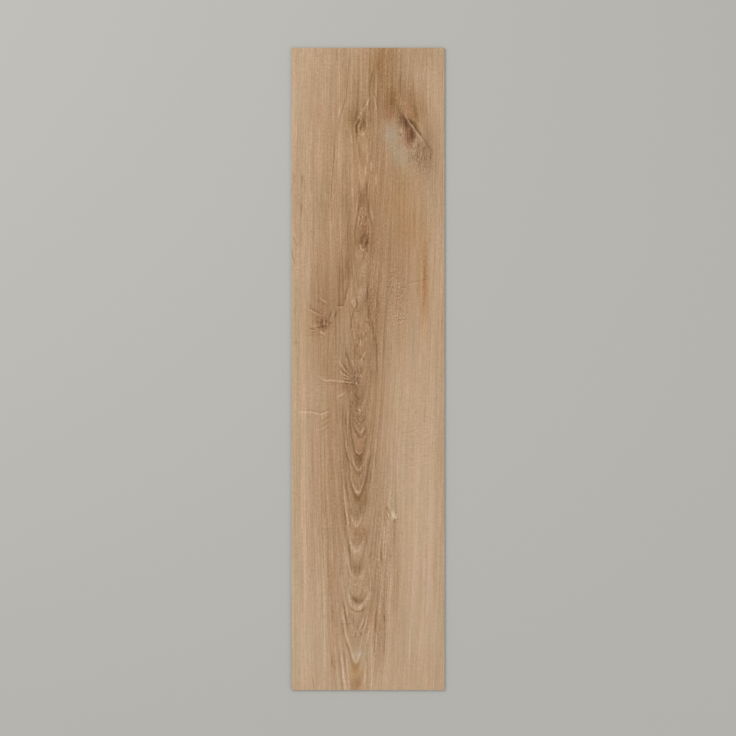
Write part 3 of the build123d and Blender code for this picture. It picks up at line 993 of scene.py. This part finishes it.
def arch_steps(x, y, total, tip_x, tip_y, steepness, roundness, round_square, leg, width, ink):
    """The sums behind an arch: how far off its line, and how far from its tip, a place is."""
    beside = (x - tip_x) * steepness
    above = y - tip_y
    root = beside.times_plus(beside, round_square).compute("SQRT")
    off = above - root + roundness
    slope = beside * steepness / root
    distance = off * off / slope.times_plus(slope, 1.0)
    far = above * leg
    far = far * far
    return falling(distance.times_plus(width, far * far)).times_plus(ink, total)


def arch(x, y, total, tip, steepness, roundness, leg, width, ink):
    """The total with a ring's arch added, open towards the head end."""
    reach = width / WIDTH_IN_REACHES
    values = (*tip, steepness, roundness, roundness**2, 1 / leg, 1 / reach**2, ink)
    return shared_steps(x.socket.id_data, arch_steps, (x, y, total, *values))


class Figure:
    """The oak figure, worked out in the node tree of a material or of a modifier.

    It is asked for over one stretch of the plank, and leaves out what can't be seen there.
    All its parts are counted in brown ink, apart from the amber and the green.
    """

    def __init__(self, position, stretch):
        tree = position.id_data
        self.foot, self.head = stretch
        split = tree.nodes.new("ShaderNodeSeparateXYZ")
        tree.links.new(position, split.inputs[0])
        plain_x = Field(split.outputs[0]) * (1 / MILLIMETRE)
        plain_y = Field(split.outputs[1]) * (1 / MILLIMETRE)
        self.plain_x = plain_x
        self.plain_y = plain_y
        # Nothing in wood is quite straight, so every place is read a little to one side.
        lean_x = noise(plain_x, plain_y, across=0.22, along=0.10, seed=3.1, detail=1.5)
        lean_y = noise(plain_x, plain_y, across=0.30, along=0.20, seed=8.3)
        self.x = lean_x.times_plus(0.55, plain_x)
        self.y = lean_y.times_plus(0.55, plain_y)
        self.side = self.grain_side()
        self.ring = self.ring_distance()
        self.brown, self.amber, self.green = self.broad_areas()
        self.amber, self.green = self.hue_bands()
        self.vigour = self.grain_strength()
        self.lines = self.drawn_lines()
        self.arches = self.arch_rings()
        self.rings = self.ring_bands()
        self.fibres = self.fibre_streaks()
        self.pores = self.pore_dashes()
        self.specks = self.speckled_patches()
        self.sawn = self.saw_marks()

    def within(self, lowest, highest, margin):
        """Whether what lies between the two places along can be seen in this stretch."""
        return highest > self.foot - margin and lowest < self.head + margin

    def oval_here(self, across, down, half_width, half_length, turn=0):
        """A soft oval given in pixels, or None where it doesn't reach this stretch."""
        across, along = on_face(across, down)
        half_width, half_length = millimetres(half_width, half_length)
        longest = max(half_length, half_width if turn else 0)
        if not self.within(along, along, FADE * longest):
            return None
        return oval(self.x, self.y, across, along, half_width, half_length, turn)

    def grain_side(self):
        """How far a place is to the right of the pith, with the grain parted by the knots."""
        wander = noise(self.plain_x, self.plain_y, across=0.012, along=0.004, seed=5.7)
        side = slanted(self.x, self.y, 1.0, -PITH_LEAN, -PITH_ACROSS)
        side = wander.times_plus(1.6, side)
        for _, across, down, *sizes in KNOTS:
            across, along = on_face(across, down)
            reach_across, reach_along, push = millimetres(*sizes)
            if not self.within(along, along, FADE * reach_along):
                continue
            u = self.x.times_plus(1 / reach_across, -across / reach_across)
            v = self.y.times_plus(1 / reach_along, -along / reach_along)
            near = falling(u.times_plus(u, v * v))
            side = (u * near).times_plus(-push, side)
        return side

    def ring_distance(self):
        """The distance to the pith, which is the same all along one growth ring."""
        depth = self.y.times_plus(-ARCH_SLOPE, ARCH_TOP * ARCH_SLOPE)
        depth = depth.compute("MAXIMUM", LEAST_DEPTH)
        distance = self.side.times_plus(self.side, depth * depth).compute("SQRT")
        straight = self.side.compute("ABSOLUTE")
        reach = self.side * (1 / ARCH_REACH)
        return (distance - straight).times_plus(falling(reach * reach), straight)

    def broad_areas(self):
        """Brown, amber and green ink of the ground and the stains on it."""
        start = self.x * 0.0
        brown = start + PALE_START
        amber = start
        green = start
        for _, *shape, more_brown, more_amber, more_green in every_entry(AREAS):
            place = self.oval_here(*shape)
            if place is None:
                continue
            brown = place.times_plus(more_brown, brown)
            if more_amber:
                amber = place.times_plus(more_amber, amber)
            if more_green:
                green = place.times_plus(more_green, green)
        return brown, amber, green

    def hue_bands(self):
        """Long bands that lean a little towards green or pink, and towards yellow or grey."""
        narrow = noise(self.side, self.y, across=0.19, along=0.013, seed=87.0)
        wide = noise(self.side, self.y, across=0.075, along=0.008, seed=89.0)
        yellow = noise(self.side, self.y, across=0.08, along=0.010, seed=97.0)
        green = narrow.times_plus(0.030, wide.times_plus(0.022, self.green))
        amber = narrow.times_plus(0.012, yellow.times_plus(0.040, self.amber))
        return amber, green

    def grain_strength(self):
        """Where the wood is dark its grain is stronger too, and it is calm in some fields."""
        strength = self.brown.times_plus(2.2, 1.4)
        for _, *shape, more in GRAIN_FIELDS:
            place = self.oval_here(*shape)
            if place is not None:
                strength = place.times_plus(more, strength)
        return strength.compute("MAXIMUM", 0.7).compute("MINIMUM", 3.2)

    def drawn_lines(self):
        """All the drawn lines, a little uneven along their way."""
        total = self.x * 0.0
        for _, across0, down0, across1, down1, width, swing, ink in every_entry(LINES):
            x0, y0 = on_face(across0, down0)
            x1, y1 = on_face(across1, down1)
            width, swing = millimetres(width, swing)
            fading_out = 0.4 * abs(y1 - y0) + 4 * width
            if self.within(min(y0, y1), max(y0, y1), fading_out):
                total = stroke(self.x, self.y, total, (x0, y0, x1, y1), width, swing, ink)
        uneven = noise(self.x, self.y, across=0.22, along=0.12, seed=17.0)
        return total * uneven.times_plus(0.30, 1.0)

    def arch_rings(self):
        """The growth rings that come to a tip. Their legs fade out towards the head end."""
        total = self.x * 0.0
        for _, across, down, steepness, *sizes, ink in ARCHES:
            tip = on_face(across, down)
            roundness, leg, width = millimetres(*sizes)
            if self.within(tip[1], tip[1] + 1.5 * leg, 4 * width):
                total = arch(self.x, self.y, total, tip, steepness, roundness, leg, width, ink)
        uneven = noise(self.x, self.y, across=0.20, along=0.08, seed=21.0)
        return total * uneven.times_plus(0.30, 1.0)

    def ring_bands(self):
        """Darker and paler growth rings of uneven width."""
        drift = self.x * 0.012
        broad = noise(self.ring, self.y, across=0.14, along=0.0016, seed=drift + 2.0)
        middle = noise(self.ring, self.y, across=0.34, along=0.004, seed=drift + 11.0)
        fine = noise(self.ring, self.y, across=0.75, along=0.010, seed=drift + 31.0)
        return broad.times_plus(0.06, middle.times_plus(0.065, fine * 0.11) * self.vigour)

    def fibre_streaks(self):
        """Fibres run along the plank, whatever the rings do."""
        wide = noise(self.side, self.y, across=0.60, along=0.035, seed=41.0)
        short = noise(self.side, self.y, across=0.85, along=0.22, seed=43.0)
        narrow = noise(self.side, self.y, across=2.3, along=0.045, seed=47.0, detail=2.0, roughness=0.6)
        dots = noise(self.x, self.y, across=0.72, along=0.45, seed=49.0)
        streaks = wide.times_plus(0.07, short.times_plus(0.10, narrow * 0.06))
        return streaks.times_plus(self.vigour, dots * (self.vigour - 0.9) * 0.12)

    def pore_dashes(self):
        """Open pores are short dark dashes, denser in some rings than in others."""
        dash = noise(self.side, self.y, across=1.5, along=0.11, seed=53.0)
        crowd = noise(self.ring, self.y, across=0.30, along=0.004, seed=59.0)
        return rising(crowd.times_plus(0.35, dash), start=0.42, end=0.95)

    def speckled_patches(self):
        """Small leaning blots, in their patches."""
        leaning = self.y.times_plus(0.45, self.x)
        blots = noise(leaning, self.y, across=0.85, along=0.34, seed=61.0)
        total = self.x * 0.0
        for _, *shape, ink in SPECKLES:
            place = self.oval_here(*shape)
            if place is not None:
                total = place.times_plus(ink, total)
        return total * blots

    def saw_marks(self):
        """Fine marks across the grain: plain to see in their patches, and faint elsewhere."""
        marks = noise(self.x, self.y, across=0.09, along=0.52, seed=67.0)
        total = self.x * 0.0
        for _, *shape in SAW_MARKS:
            place = self.oval_here(*shape)
            if place is not None:
                total = place + total
        return (total + 0.45) * marks * 0.10

    def fine_brown(self):
        """The fine figure, without the ground and the stains."""
        brown = self.lines + self.arches + self.rings
        brown = brown + self.fibres + self.specks + self.sawn
        return self.pores.times_plus(PORE_INK, brown)

    def depth(self):
        """How deep the embossing presses the face, in millimetres."""
        pressed = (self.rings + self.fibres).times_plus(RING_DEPTH, self.lines * LINE_DEPTH)
        pressed = (self.arches + self.specks).times_plus(ARCH_DEPTH, pressed)
        pressed = self.pores.times_plus(PORE_DEPTH, pressed)
        return (pressed + FACE_DEPTH).compute("MAXIMUM", 0.0).compute("MINIMUM", DEEPEST)


def new_material(name):
    """A material with one surface shader, and its node tree, shader and position."""
    material = bpy.data.materials.new(name)
    material.use_nodes = True
    tree = material.node_tree
    tree.nodes.clear()
    output = tree.nodes.new("ShaderNodeOutputMaterial")
    shader = tree.nodes.new("ShaderNodeBsdfPrincipled")
    tree.links.new(shader.outputs[0], output.inputs["Surface"])
    position = tree.nodes.new("ShaderNodeTexCoord").outputs["Object"]
    return material, tree, shader, position


def join_colour(tree, red, green, blue):
    """One colour from three fields."""
    node = tree.nodes.new("ShaderNodeCombineColor")
    for place, channel in enumerate((red, green, blue)):
        connect(channel, node.inputs[place])
    return node.outputs[0]


def raise_bumps(tree, shader, height, strength=1.0):
    """Turns a height in millimetres into bumps on the shader."""
    bump = tree.nodes.new("ShaderNodeBump")
    bump.inputs["Strength"].default_value = strength
    bump.inputs["Distance"].default_value = MILLIMETRE
    connect(height, bump.inputs["Height"])
    tree.links.new(bump.outputs[0], shader.inputs["Normal"])


def printed_face(number):
    """The printed oak, over one stretch of the plank's length."""
    material, tree, shader, position = new_material(f"printed_oak_{number + 1}")
    length = 2 * HALF_LENGTH / MILLIMETRE / STRETCHES
    foot = -HALF_LENGTH / MILLIMETRE + number * length
    figure = Figure(position, (foot, foot + length))
    fine_brown = figure.fine_brown()
    channels = []
    for ground, broad, fine, warm, cool in zip(GROUND, BROWN_INK, FIGURE_INK, AMBER_INK, GREEN_INK):
        ink = figure.brown.times_plus(broad, fine_brown * fine)
        if warm:
            ink = ink + figure.amber
        if cool:
            ink = ink + figure.green
        channels.append(falling(ink) * ground)
    tree.links.new(join_colour(tree, *channels), shader.inputs["Base Color"])
    shader.inputs["Specular IOR Level"].default_value = 0.35
    roughness = figure.fibres.times_plus(0.35, figure.pores.times_plus(0.10, 0.52))
    connect(roughness, shader.inputs["Roughness"])
    raise_bumps(tree, shader, figure.depth() * -1.0)
    return material


def cut_edge():
    """The die-cut edge: filled vinyl, with the printed film as a thin line near the top."""
    material, tree, shader, position = new_material("cut_vinyl_edge")
    split = tree.nodes.new("ShaderNodeSeparateXYZ")
    tree.links.new(position, split.inputs[0])
    x = Field(split.outputs[0]) * (1 / MILLIMETRE)
    y = Field(split.outputs[1]) * (1 / MILLIMETRE)
    z = Field(split.outputs[2]) * (1 / MILLIMETRE)
    around = x + y
    film_height = THICKNESS / MILLIMETRE - FILM_UNDER_FACE
    film = z.times_plus(1 / FILM_THICKNESS, -film_height / FILM_THICKNESS)
    film_line = falling(film * film)
    wear_layer = rising(z, film_height, film_height + FILM_THICKNESS)
    drag = noise(around, z, across=0.9, along=0.35, seed=71.0, detail=2.0)
    grains = noise(around, z, across=5.0, along=5.0, seed=73.0)
    brown = drag.times_plus(0.06, grains * 0.05) + film_line * 0.55 + wear_layer * 0.28
    channels = [falling(brown * ink) * ground for ink, ground in zip(BROWN_INK, EDGE_COLOUR)]
    tree.links.new(join_colour(tree, *channels), shader.inputs["Base Color"])
    connect(wear_layer.times_plus(-0.25, drag.times_plus(0.05, 0.72)), shader.inputs["Roughness"])
    raise_bumps(tree, shader, drag.times_plus(0.02, grains * 0.01))
    return material


def vinyl_backing():
    """The underside: plain grey vinyl, pressed with a fine lattice so that it grips."""
    material, tree, shader, position = new_material("grey_vinyl_backing")
    split = tree.nodes.new("ShaderNodeSeparateXYZ")
    tree.links.new(position, split.inputs[0])
    x = Field(split.outputs[0]) * (1 / MILLIMETRE)
    y = Field(split.outputs[1]) * (1 / MILLIMETRE)
    # Three sets of waves, 60 degrees apart, make a lattice of triangles.
    turn = 2 * math.pi / LATTICE_PITCH
    lean = 0.577
    rise = 1.155
    first = slanted(x, y, turn, turn * lean, 0.0).compute("SINE")
    second = slanted(x, y, turn, -turn * lean, 0.0).compute("SINE")
    third = (y * (turn * rise)).compute("SINE")
    lattice = first + second + third
    cloud = noise(x, y, across=0.02, along=0.02, seed=79.0, detail=3.0)
    grains = noise(x, y, across=1.6, along=1.6, seed=83.0, detail=2.0)
    brown = cloud.times_plus(0.05, grains.times_plus(0.04, lattice * 0.02))
    channels = [falling(brown * ink) * ground for ink, ground in zip(BROWN_INK, BACKING_COLOUR)]
    tree.links.new(join_colour(tree, *channels), shader.inputs["Base Color"])
    connect(grains.times_plus(0.06, 0.62), shader.inputs["Roughness"])
    raise_bumps(tree, shader, lattice.times_plus(0.02, grains * 0.02))
    return material


def rim_profile(steps):
    """How far in and how far down the rounded rim lies, from its outer side to the face."""
    for step in range(steps):
        angle = math.pi / 2 * (1 - step / steps)
        yield ARRIS_RADIUS * (1 - math.sin(angle)), ARRIS_RADIUS * (1 - math.cos(angle))


def grid_lines(half, cells, steps):
    """Places of the face's grid lines from one rim to the other, and how low the rim is there."""
    rim = list(rim_profile(steps))
    inner = np.linspace(-half + ARRIS_RADIUS, half - ARRIS_RADIUS, cells + 1)
    places = [-half + inset for inset, _ in rim] + list(inner) + [half - inset for inset, _ in rim[::-1]]
    drops = [drop for _, drop in rim] + [0.0] * len(inner) + [drop for _, drop in rim[::-1]]
    return np.array(places), np.array(drops)


def plank_sheet():
    """The plank as one closed mesh: a fine grid on the face, its four edges and the underside."""
    cells_across, cells_along, rim_steps = 240, 360, 3
    underside_cells_across, underside_cells_along = 10, 42
    xs, x_drops = grid_lines(HALF_WIDTH, cells_across, rim_steps)
    ys, y_drops = grid_lines(HALF_LENGTH, cells_along, rim_steps)
    columns = len(xs)
    rows = len(ys)
    grid_x, grid_y = np.meshgrid(xs, ys)
    grid_z = THICKNESS - np.maximum(*np.meshgrid(x_drops, y_drops))
    points = [np.stack((grid_x, grid_y, grid_z), 2).reshape(-1, 3)]

    def face_point(column, row):
        return row * columns + column

    faces = []
    materials = []
    for row in range(rows - 1):
        share_along = (ys[row] + ys[row + 1]) / 2 / (2 * HALF_LENGTH) + 0.5
        stretch = round(share_along * STRETCHES - 0.5)
        for column in range(columns - 1):
            faces.append(
                (
                    face_point(column, row),
                    face_point(column + 1, row),
                    face_point(column + 1, row + 1),
                    face_point(column, row + 1),
                )
            )
            materials.append(stretch)

    # The rim of the face, once around, and the same outline on the floor.
    rim = [face_point(column, 0) for column in range(columns - 1)]
    rim += [face_point(columns - 1, row) for row in range(rows - 1)]
    rim += [face_point(column, rows - 1) for column in range(columns - 1, 0, -1)]
    rim += [face_point(0, row) for row in range(rows - 1, 0, -1)]
    first_floor_point = columns * rows
    floor_outline = points[0][rim].copy()
    floor_outline[:, 2] = 0.0
    points.append(floor_outline)
    floor_of = {point: first_floor_point + place for place, point in enumerate(rim)}
    for place, point in enumerate(rim):
        following = rim[(place + 1) % len(rim)]
        faces.append((floor_of[point], floor_of[following], following, point))
        materials.append(EDGE)

    # The underside is flat, so its cells are coarse. Those at the rim take in its points.
    stops_across = [round(place) for place in np.linspace(0, columns - 1, underside_cells_across + 1)]
    stops_along = [round(place) for place in np.linspace(0, rows - 1, underside_cells_along + 1)]
    inner_points = {}
    extra = []
    next_point = first_floor_point + len(rim)

    def floor_point(column, row):
        point = face_point(column, row)
        if point in floor_of:
            return floor_of[point]
        if point not in inner_points:
            inner_points[point] = next_point + len(extra)
            extra.append((xs[column], ys[row], 0.0))
        return inner_points[point]

    for row0, row1 in zip(stops_along, stops_along[1:]):
        for column0, column1 in zip(stops_across, stops_across[1:]):
            left = range(row0, row1) if column0 == 0 else [row0]
            top = range(column0, column1) if row1 == rows - 1 else [column0]
            right = range(row1, row0, -1) if column1 == columns - 1 else [row1]
            bottom = range(column1, column0, -1) if row0 == 0 else [column1]
            loop = [floor_point(column0, row) for row in left]
            loop += [floor_point(column, row1) for column in top]
            loop += [floor_point(column1, row) for row in right]
            loop += [floor_point(column, row0) for column in bottom]
            faces.append(tuple(loop))
            materials.append(UNDERSIDE)
    points.append(np.array(extra))

    mesh = bpy.data.meshes.new("vinyl_plank")
    mesh.from_pydata(np.concatenate(points).tolist(), [], faces)
    mesh.polygons.foreach_set("material_index", materials)
    mesh.shade_smooth()
    mesh.set_sharp_from_angle(angle=math.radians(40))
    plank = bpy.data.objects.new("vinyl_plank", mesh)
    bpy.context.scene.collection.objects.link(plank)
    lay_out_print(mesh)
    return plank


def lay_out_print(mesh):
    """A flat layout of the plank for its maps: the face over most of it, the rest in strips."""
    margin = 0.004
    face_share = 0.846
    underside_end, underside_share = 0.950, 0.090
    strip_share = 0.008
    side_strips = (0.956, 0.967)
    end_strips = (0.978, 0.989)
    layer = mesh.uv_layers.new(name="OFBake")
    layout = np.zeros((len(mesh.loops), 2))
    corners = np.array([mesh.vertices[loop.vertex_index].co for loop in mesh.loops])
    across = corners[:, 0] / (2 * HALF_WIDTH) + 0.5
    along = margin + (1 - 2 * margin) * (corners[:, 1] / (2 * HALF_LENGTH) + 0.5)
    up = corners[:, 2] / THICKNESS
    for polygon in mesh.polygons:
        loops = slice(polygon.loop_start, polygon.loop_start + polygon.loop_total)
        if polygon.material_index < EDGE:
            layout[loops, 0] = margin + face_share * across[loops]
            layout[loops, 1] = along[loops]
        elif polygon.material_index == UNDERSIDE:
            layout[loops, 0] = underside_end - underside_share * across[loops]
            layout[loops, 1] = along[loops]
        elif abs(polygon.normal.x) > 0.5:
            layout[loops, 0] = side_strips[int(polygon.normal.x > 0)] + strip_share * up[loops]
            layout[loops, 1] = along[loops]
        else:
            layout[loops, 0] = end_strips[int(polygon.normal.y > 0)] + strip_share * up[loops]
            layout[loops, 1] = margin + (1 - 2 * margin) * across[loops]
    layer.uv.foreach_set("vector", layout.ravel())


def press_relief(plank):
    """Presses the print's own figure into the face, with Geometry Nodes, and keeps the mesh."""
    tree = bpy.data.node_groups.new("pressed_grain", "GeometryNodeTree")
    tree.interface.new_socket("Geometry", in_out="INPUT", socket_type="NodeSocketGeometry")
    tree.interface.new_socket("Geometry", in_out="OUTPUT", socket_type="NodeSocketGeometry")
    start = tree.nodes.new("NodeGroupInput")
    end = tree.nodes.new("NodeGroupOutput")
    position = tree.nodes.new("GeometryNodeInputPosition").outputs[0]
    figure = Figure(position, (-HALF_LENGTH / MILLIMETRE, HALF_LENGTH / MILLIMETRE))
    split = tree.nodes.new("ShaderNodeSeparateXYZ")
    tree.links.new(position, split.inputs[0])
    height = Field(split.outputs[2])
    from_side = figure.plain_x.compute("ABSOLUTE").times_plus(-1.0, HALF_WIDTH / MILLIMETRE)
    from_end = figure.plain_y.compute("ABSOLUTE").times_plus(-1.0, HALF_LENGTH / MILLIMETRE)
    inside_rim = rising(from_side.compute("MINIMUM", from_end), start=0.4, end=2.5)
    at_top = rising(height, THICKNESS * 0.98, THICKNESS * 0.999)
    drop = figure.depth() * inside_rim * at_top * -MILLIMETRE
    offset = tree.nodes.new("ShaderNodeCombineXYZ")
    connect(drop, offset.inputs[2])
    move = tree.nodes.new("GeometryNodeSetPosition")
    tree.links.new(start.outputs[0], move.inputs["Geometry"])
    tree.links.new(offset.outputs[0], move.inputs["Offset"])
    tree.links.new(move.outputs[0], end.inputs[0])
    modifier = plank.modifiers.new("pressed_grain", "NODES")
    modifier.node_group = tree
    evaluated = plank.evaluated_get(bpy.context.evaluated_depsgraph_get())
    pressed = bpy.data.meshes.new_from_object(evaluated)
    plank.modifiers.remove(modifier)
    plank.data = pressed


def pale_floor():
    """The plain floor that the plank lies on, which is stage."""
    half = 14.0
    mesh = bpy.data.meshes.new("floor")
    corners = [(-half, -half, 0), (half, -half, 0), (half, half, 0), (-half, half, 0)]
    mesh.from_pydata(corners, [], [(0, 1, 2, 3)])
    floor = bpy.data.objects.new("floor", mesh)
    bpy.context.scene.collection.objects.link(floor)
    material, tree, shader, position = new_material("pale_floor")
    shader.inputs["Base Color"].default_value = (*FLOOR_COLOUR, 1.0)
    shader.inputs["Roughness"].default_value = 0.9
    shader.inputs["Specular IOR Level"].default_value = 0.0
    mesh.materials.append(material)


def soft_world():
    """Even light from all around, and behind everything the colour of the floor."""
    world = bpy.data.worlds.new("studio")
    bpy.context.scene.world = world
    world.use_nodes = True
    tree = world.node_tree
    tree.nodes.clear()
    light = tree.nodes.new("ShaderNodeBackground")
    light.inputs["Color"].default_value = (1.0, 1.0, 1.0, 1.0)
    light.inputs["Strength"].default_value = 0.62
    seen = tree.nodes.new("ShaderNodeBackground")
    seen.inputs["Color"].default_value = (*FLOOR_COLOUR, 1.0)
    seen.inputs["Strength"].default_value = 1.0
    path = tree.nodes.new("ShaderNodeLightPath")
    looked_at = Field(path.outputs["Is Camera Ray"]) + Field(path.outputs["Is Glossy Ray"])
    looked_at = (looked_at + Field(path.outputs["Is Transmission Ray"])).compute("MINIMUM", 1.0)
    mix = tree.nodes.new("ShaderNodeMixShader")
    connect(looked_at, mix.inputs[0])
    tree.links.new(light.outputs[0], mix.inputs[1])
    tree.links.new(seen.outputs[0], mix.inputs[2])
    output = tree.nodes.new("ShaderNodeOutputWorld")
    tree.links.new(mix.outputs[0], output.inputs["Surface"])


def soft_lamp(name, place, size, level):
    """A large square lamp aimed at the plank. A white card there would shine at this level."""
    distance = Vector(place).length
    cosine = place[2] / distance
    lamp = bpy.data.lights.new(name, "AREA")
    lamp.size = size
    lamp.energy = level * math.pi * math.pi * distance**2 / cosine
    holder = bpy.data.objects.new(name, lamp)
    holder.location = place
    holder.rotation_euler = Vector(place).to_track_quat("Z", "Y").to_euler()
    bpy.context.scene.collection.objects.link(holder)


def camera_overhead():
    """Straight above, framed so that the plank fills as much of the frame as in the photograph."""
    span = FRAME_PIXELS * MILLIMETRES_PER_PIXEL * MILLIMETRE
    plank_below_middle = ((FACE_HEAD + FACE_FOOT) / 2 - FRAME_PIXELS / 2) / FRAME_PIXELS
    camera = bpy.data.cameras.new("camera")
    camera.sensor_width = 36.0
    camera.lens = 85.0
    holder = bpy.data.objects.new("camera", camera)
    distance = span * camera.lens / camera.sensor_width
    holder.location = (0.0, plank_below_middle * span, THICKNESS + distance)
    bpy.context.scene.collection.objects.link(holder)
    bpy.context.scene.camera = holder


plank = plank_sheet()
press_relief(plank)
for number in range(STRETCHES):
    plank.data.materials.append(printed_face(number))
plank.data.materials.append(cut_edge())
plank.data.materials.append(vinyl_backing())
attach(plank, "root")
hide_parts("plank")

pale_floor()
soft_world()
soft_lamp("key", (-1.6, 1.2, 2.4), 1.6, 0.30)
soft_lamp("fill", (1.8, -0.8, 2.2), 2.0, 0.10)
camera_overhead()
bpy.context.scene.view_settings.view_transform = "Standard"

bpy.context.view_layer.update()
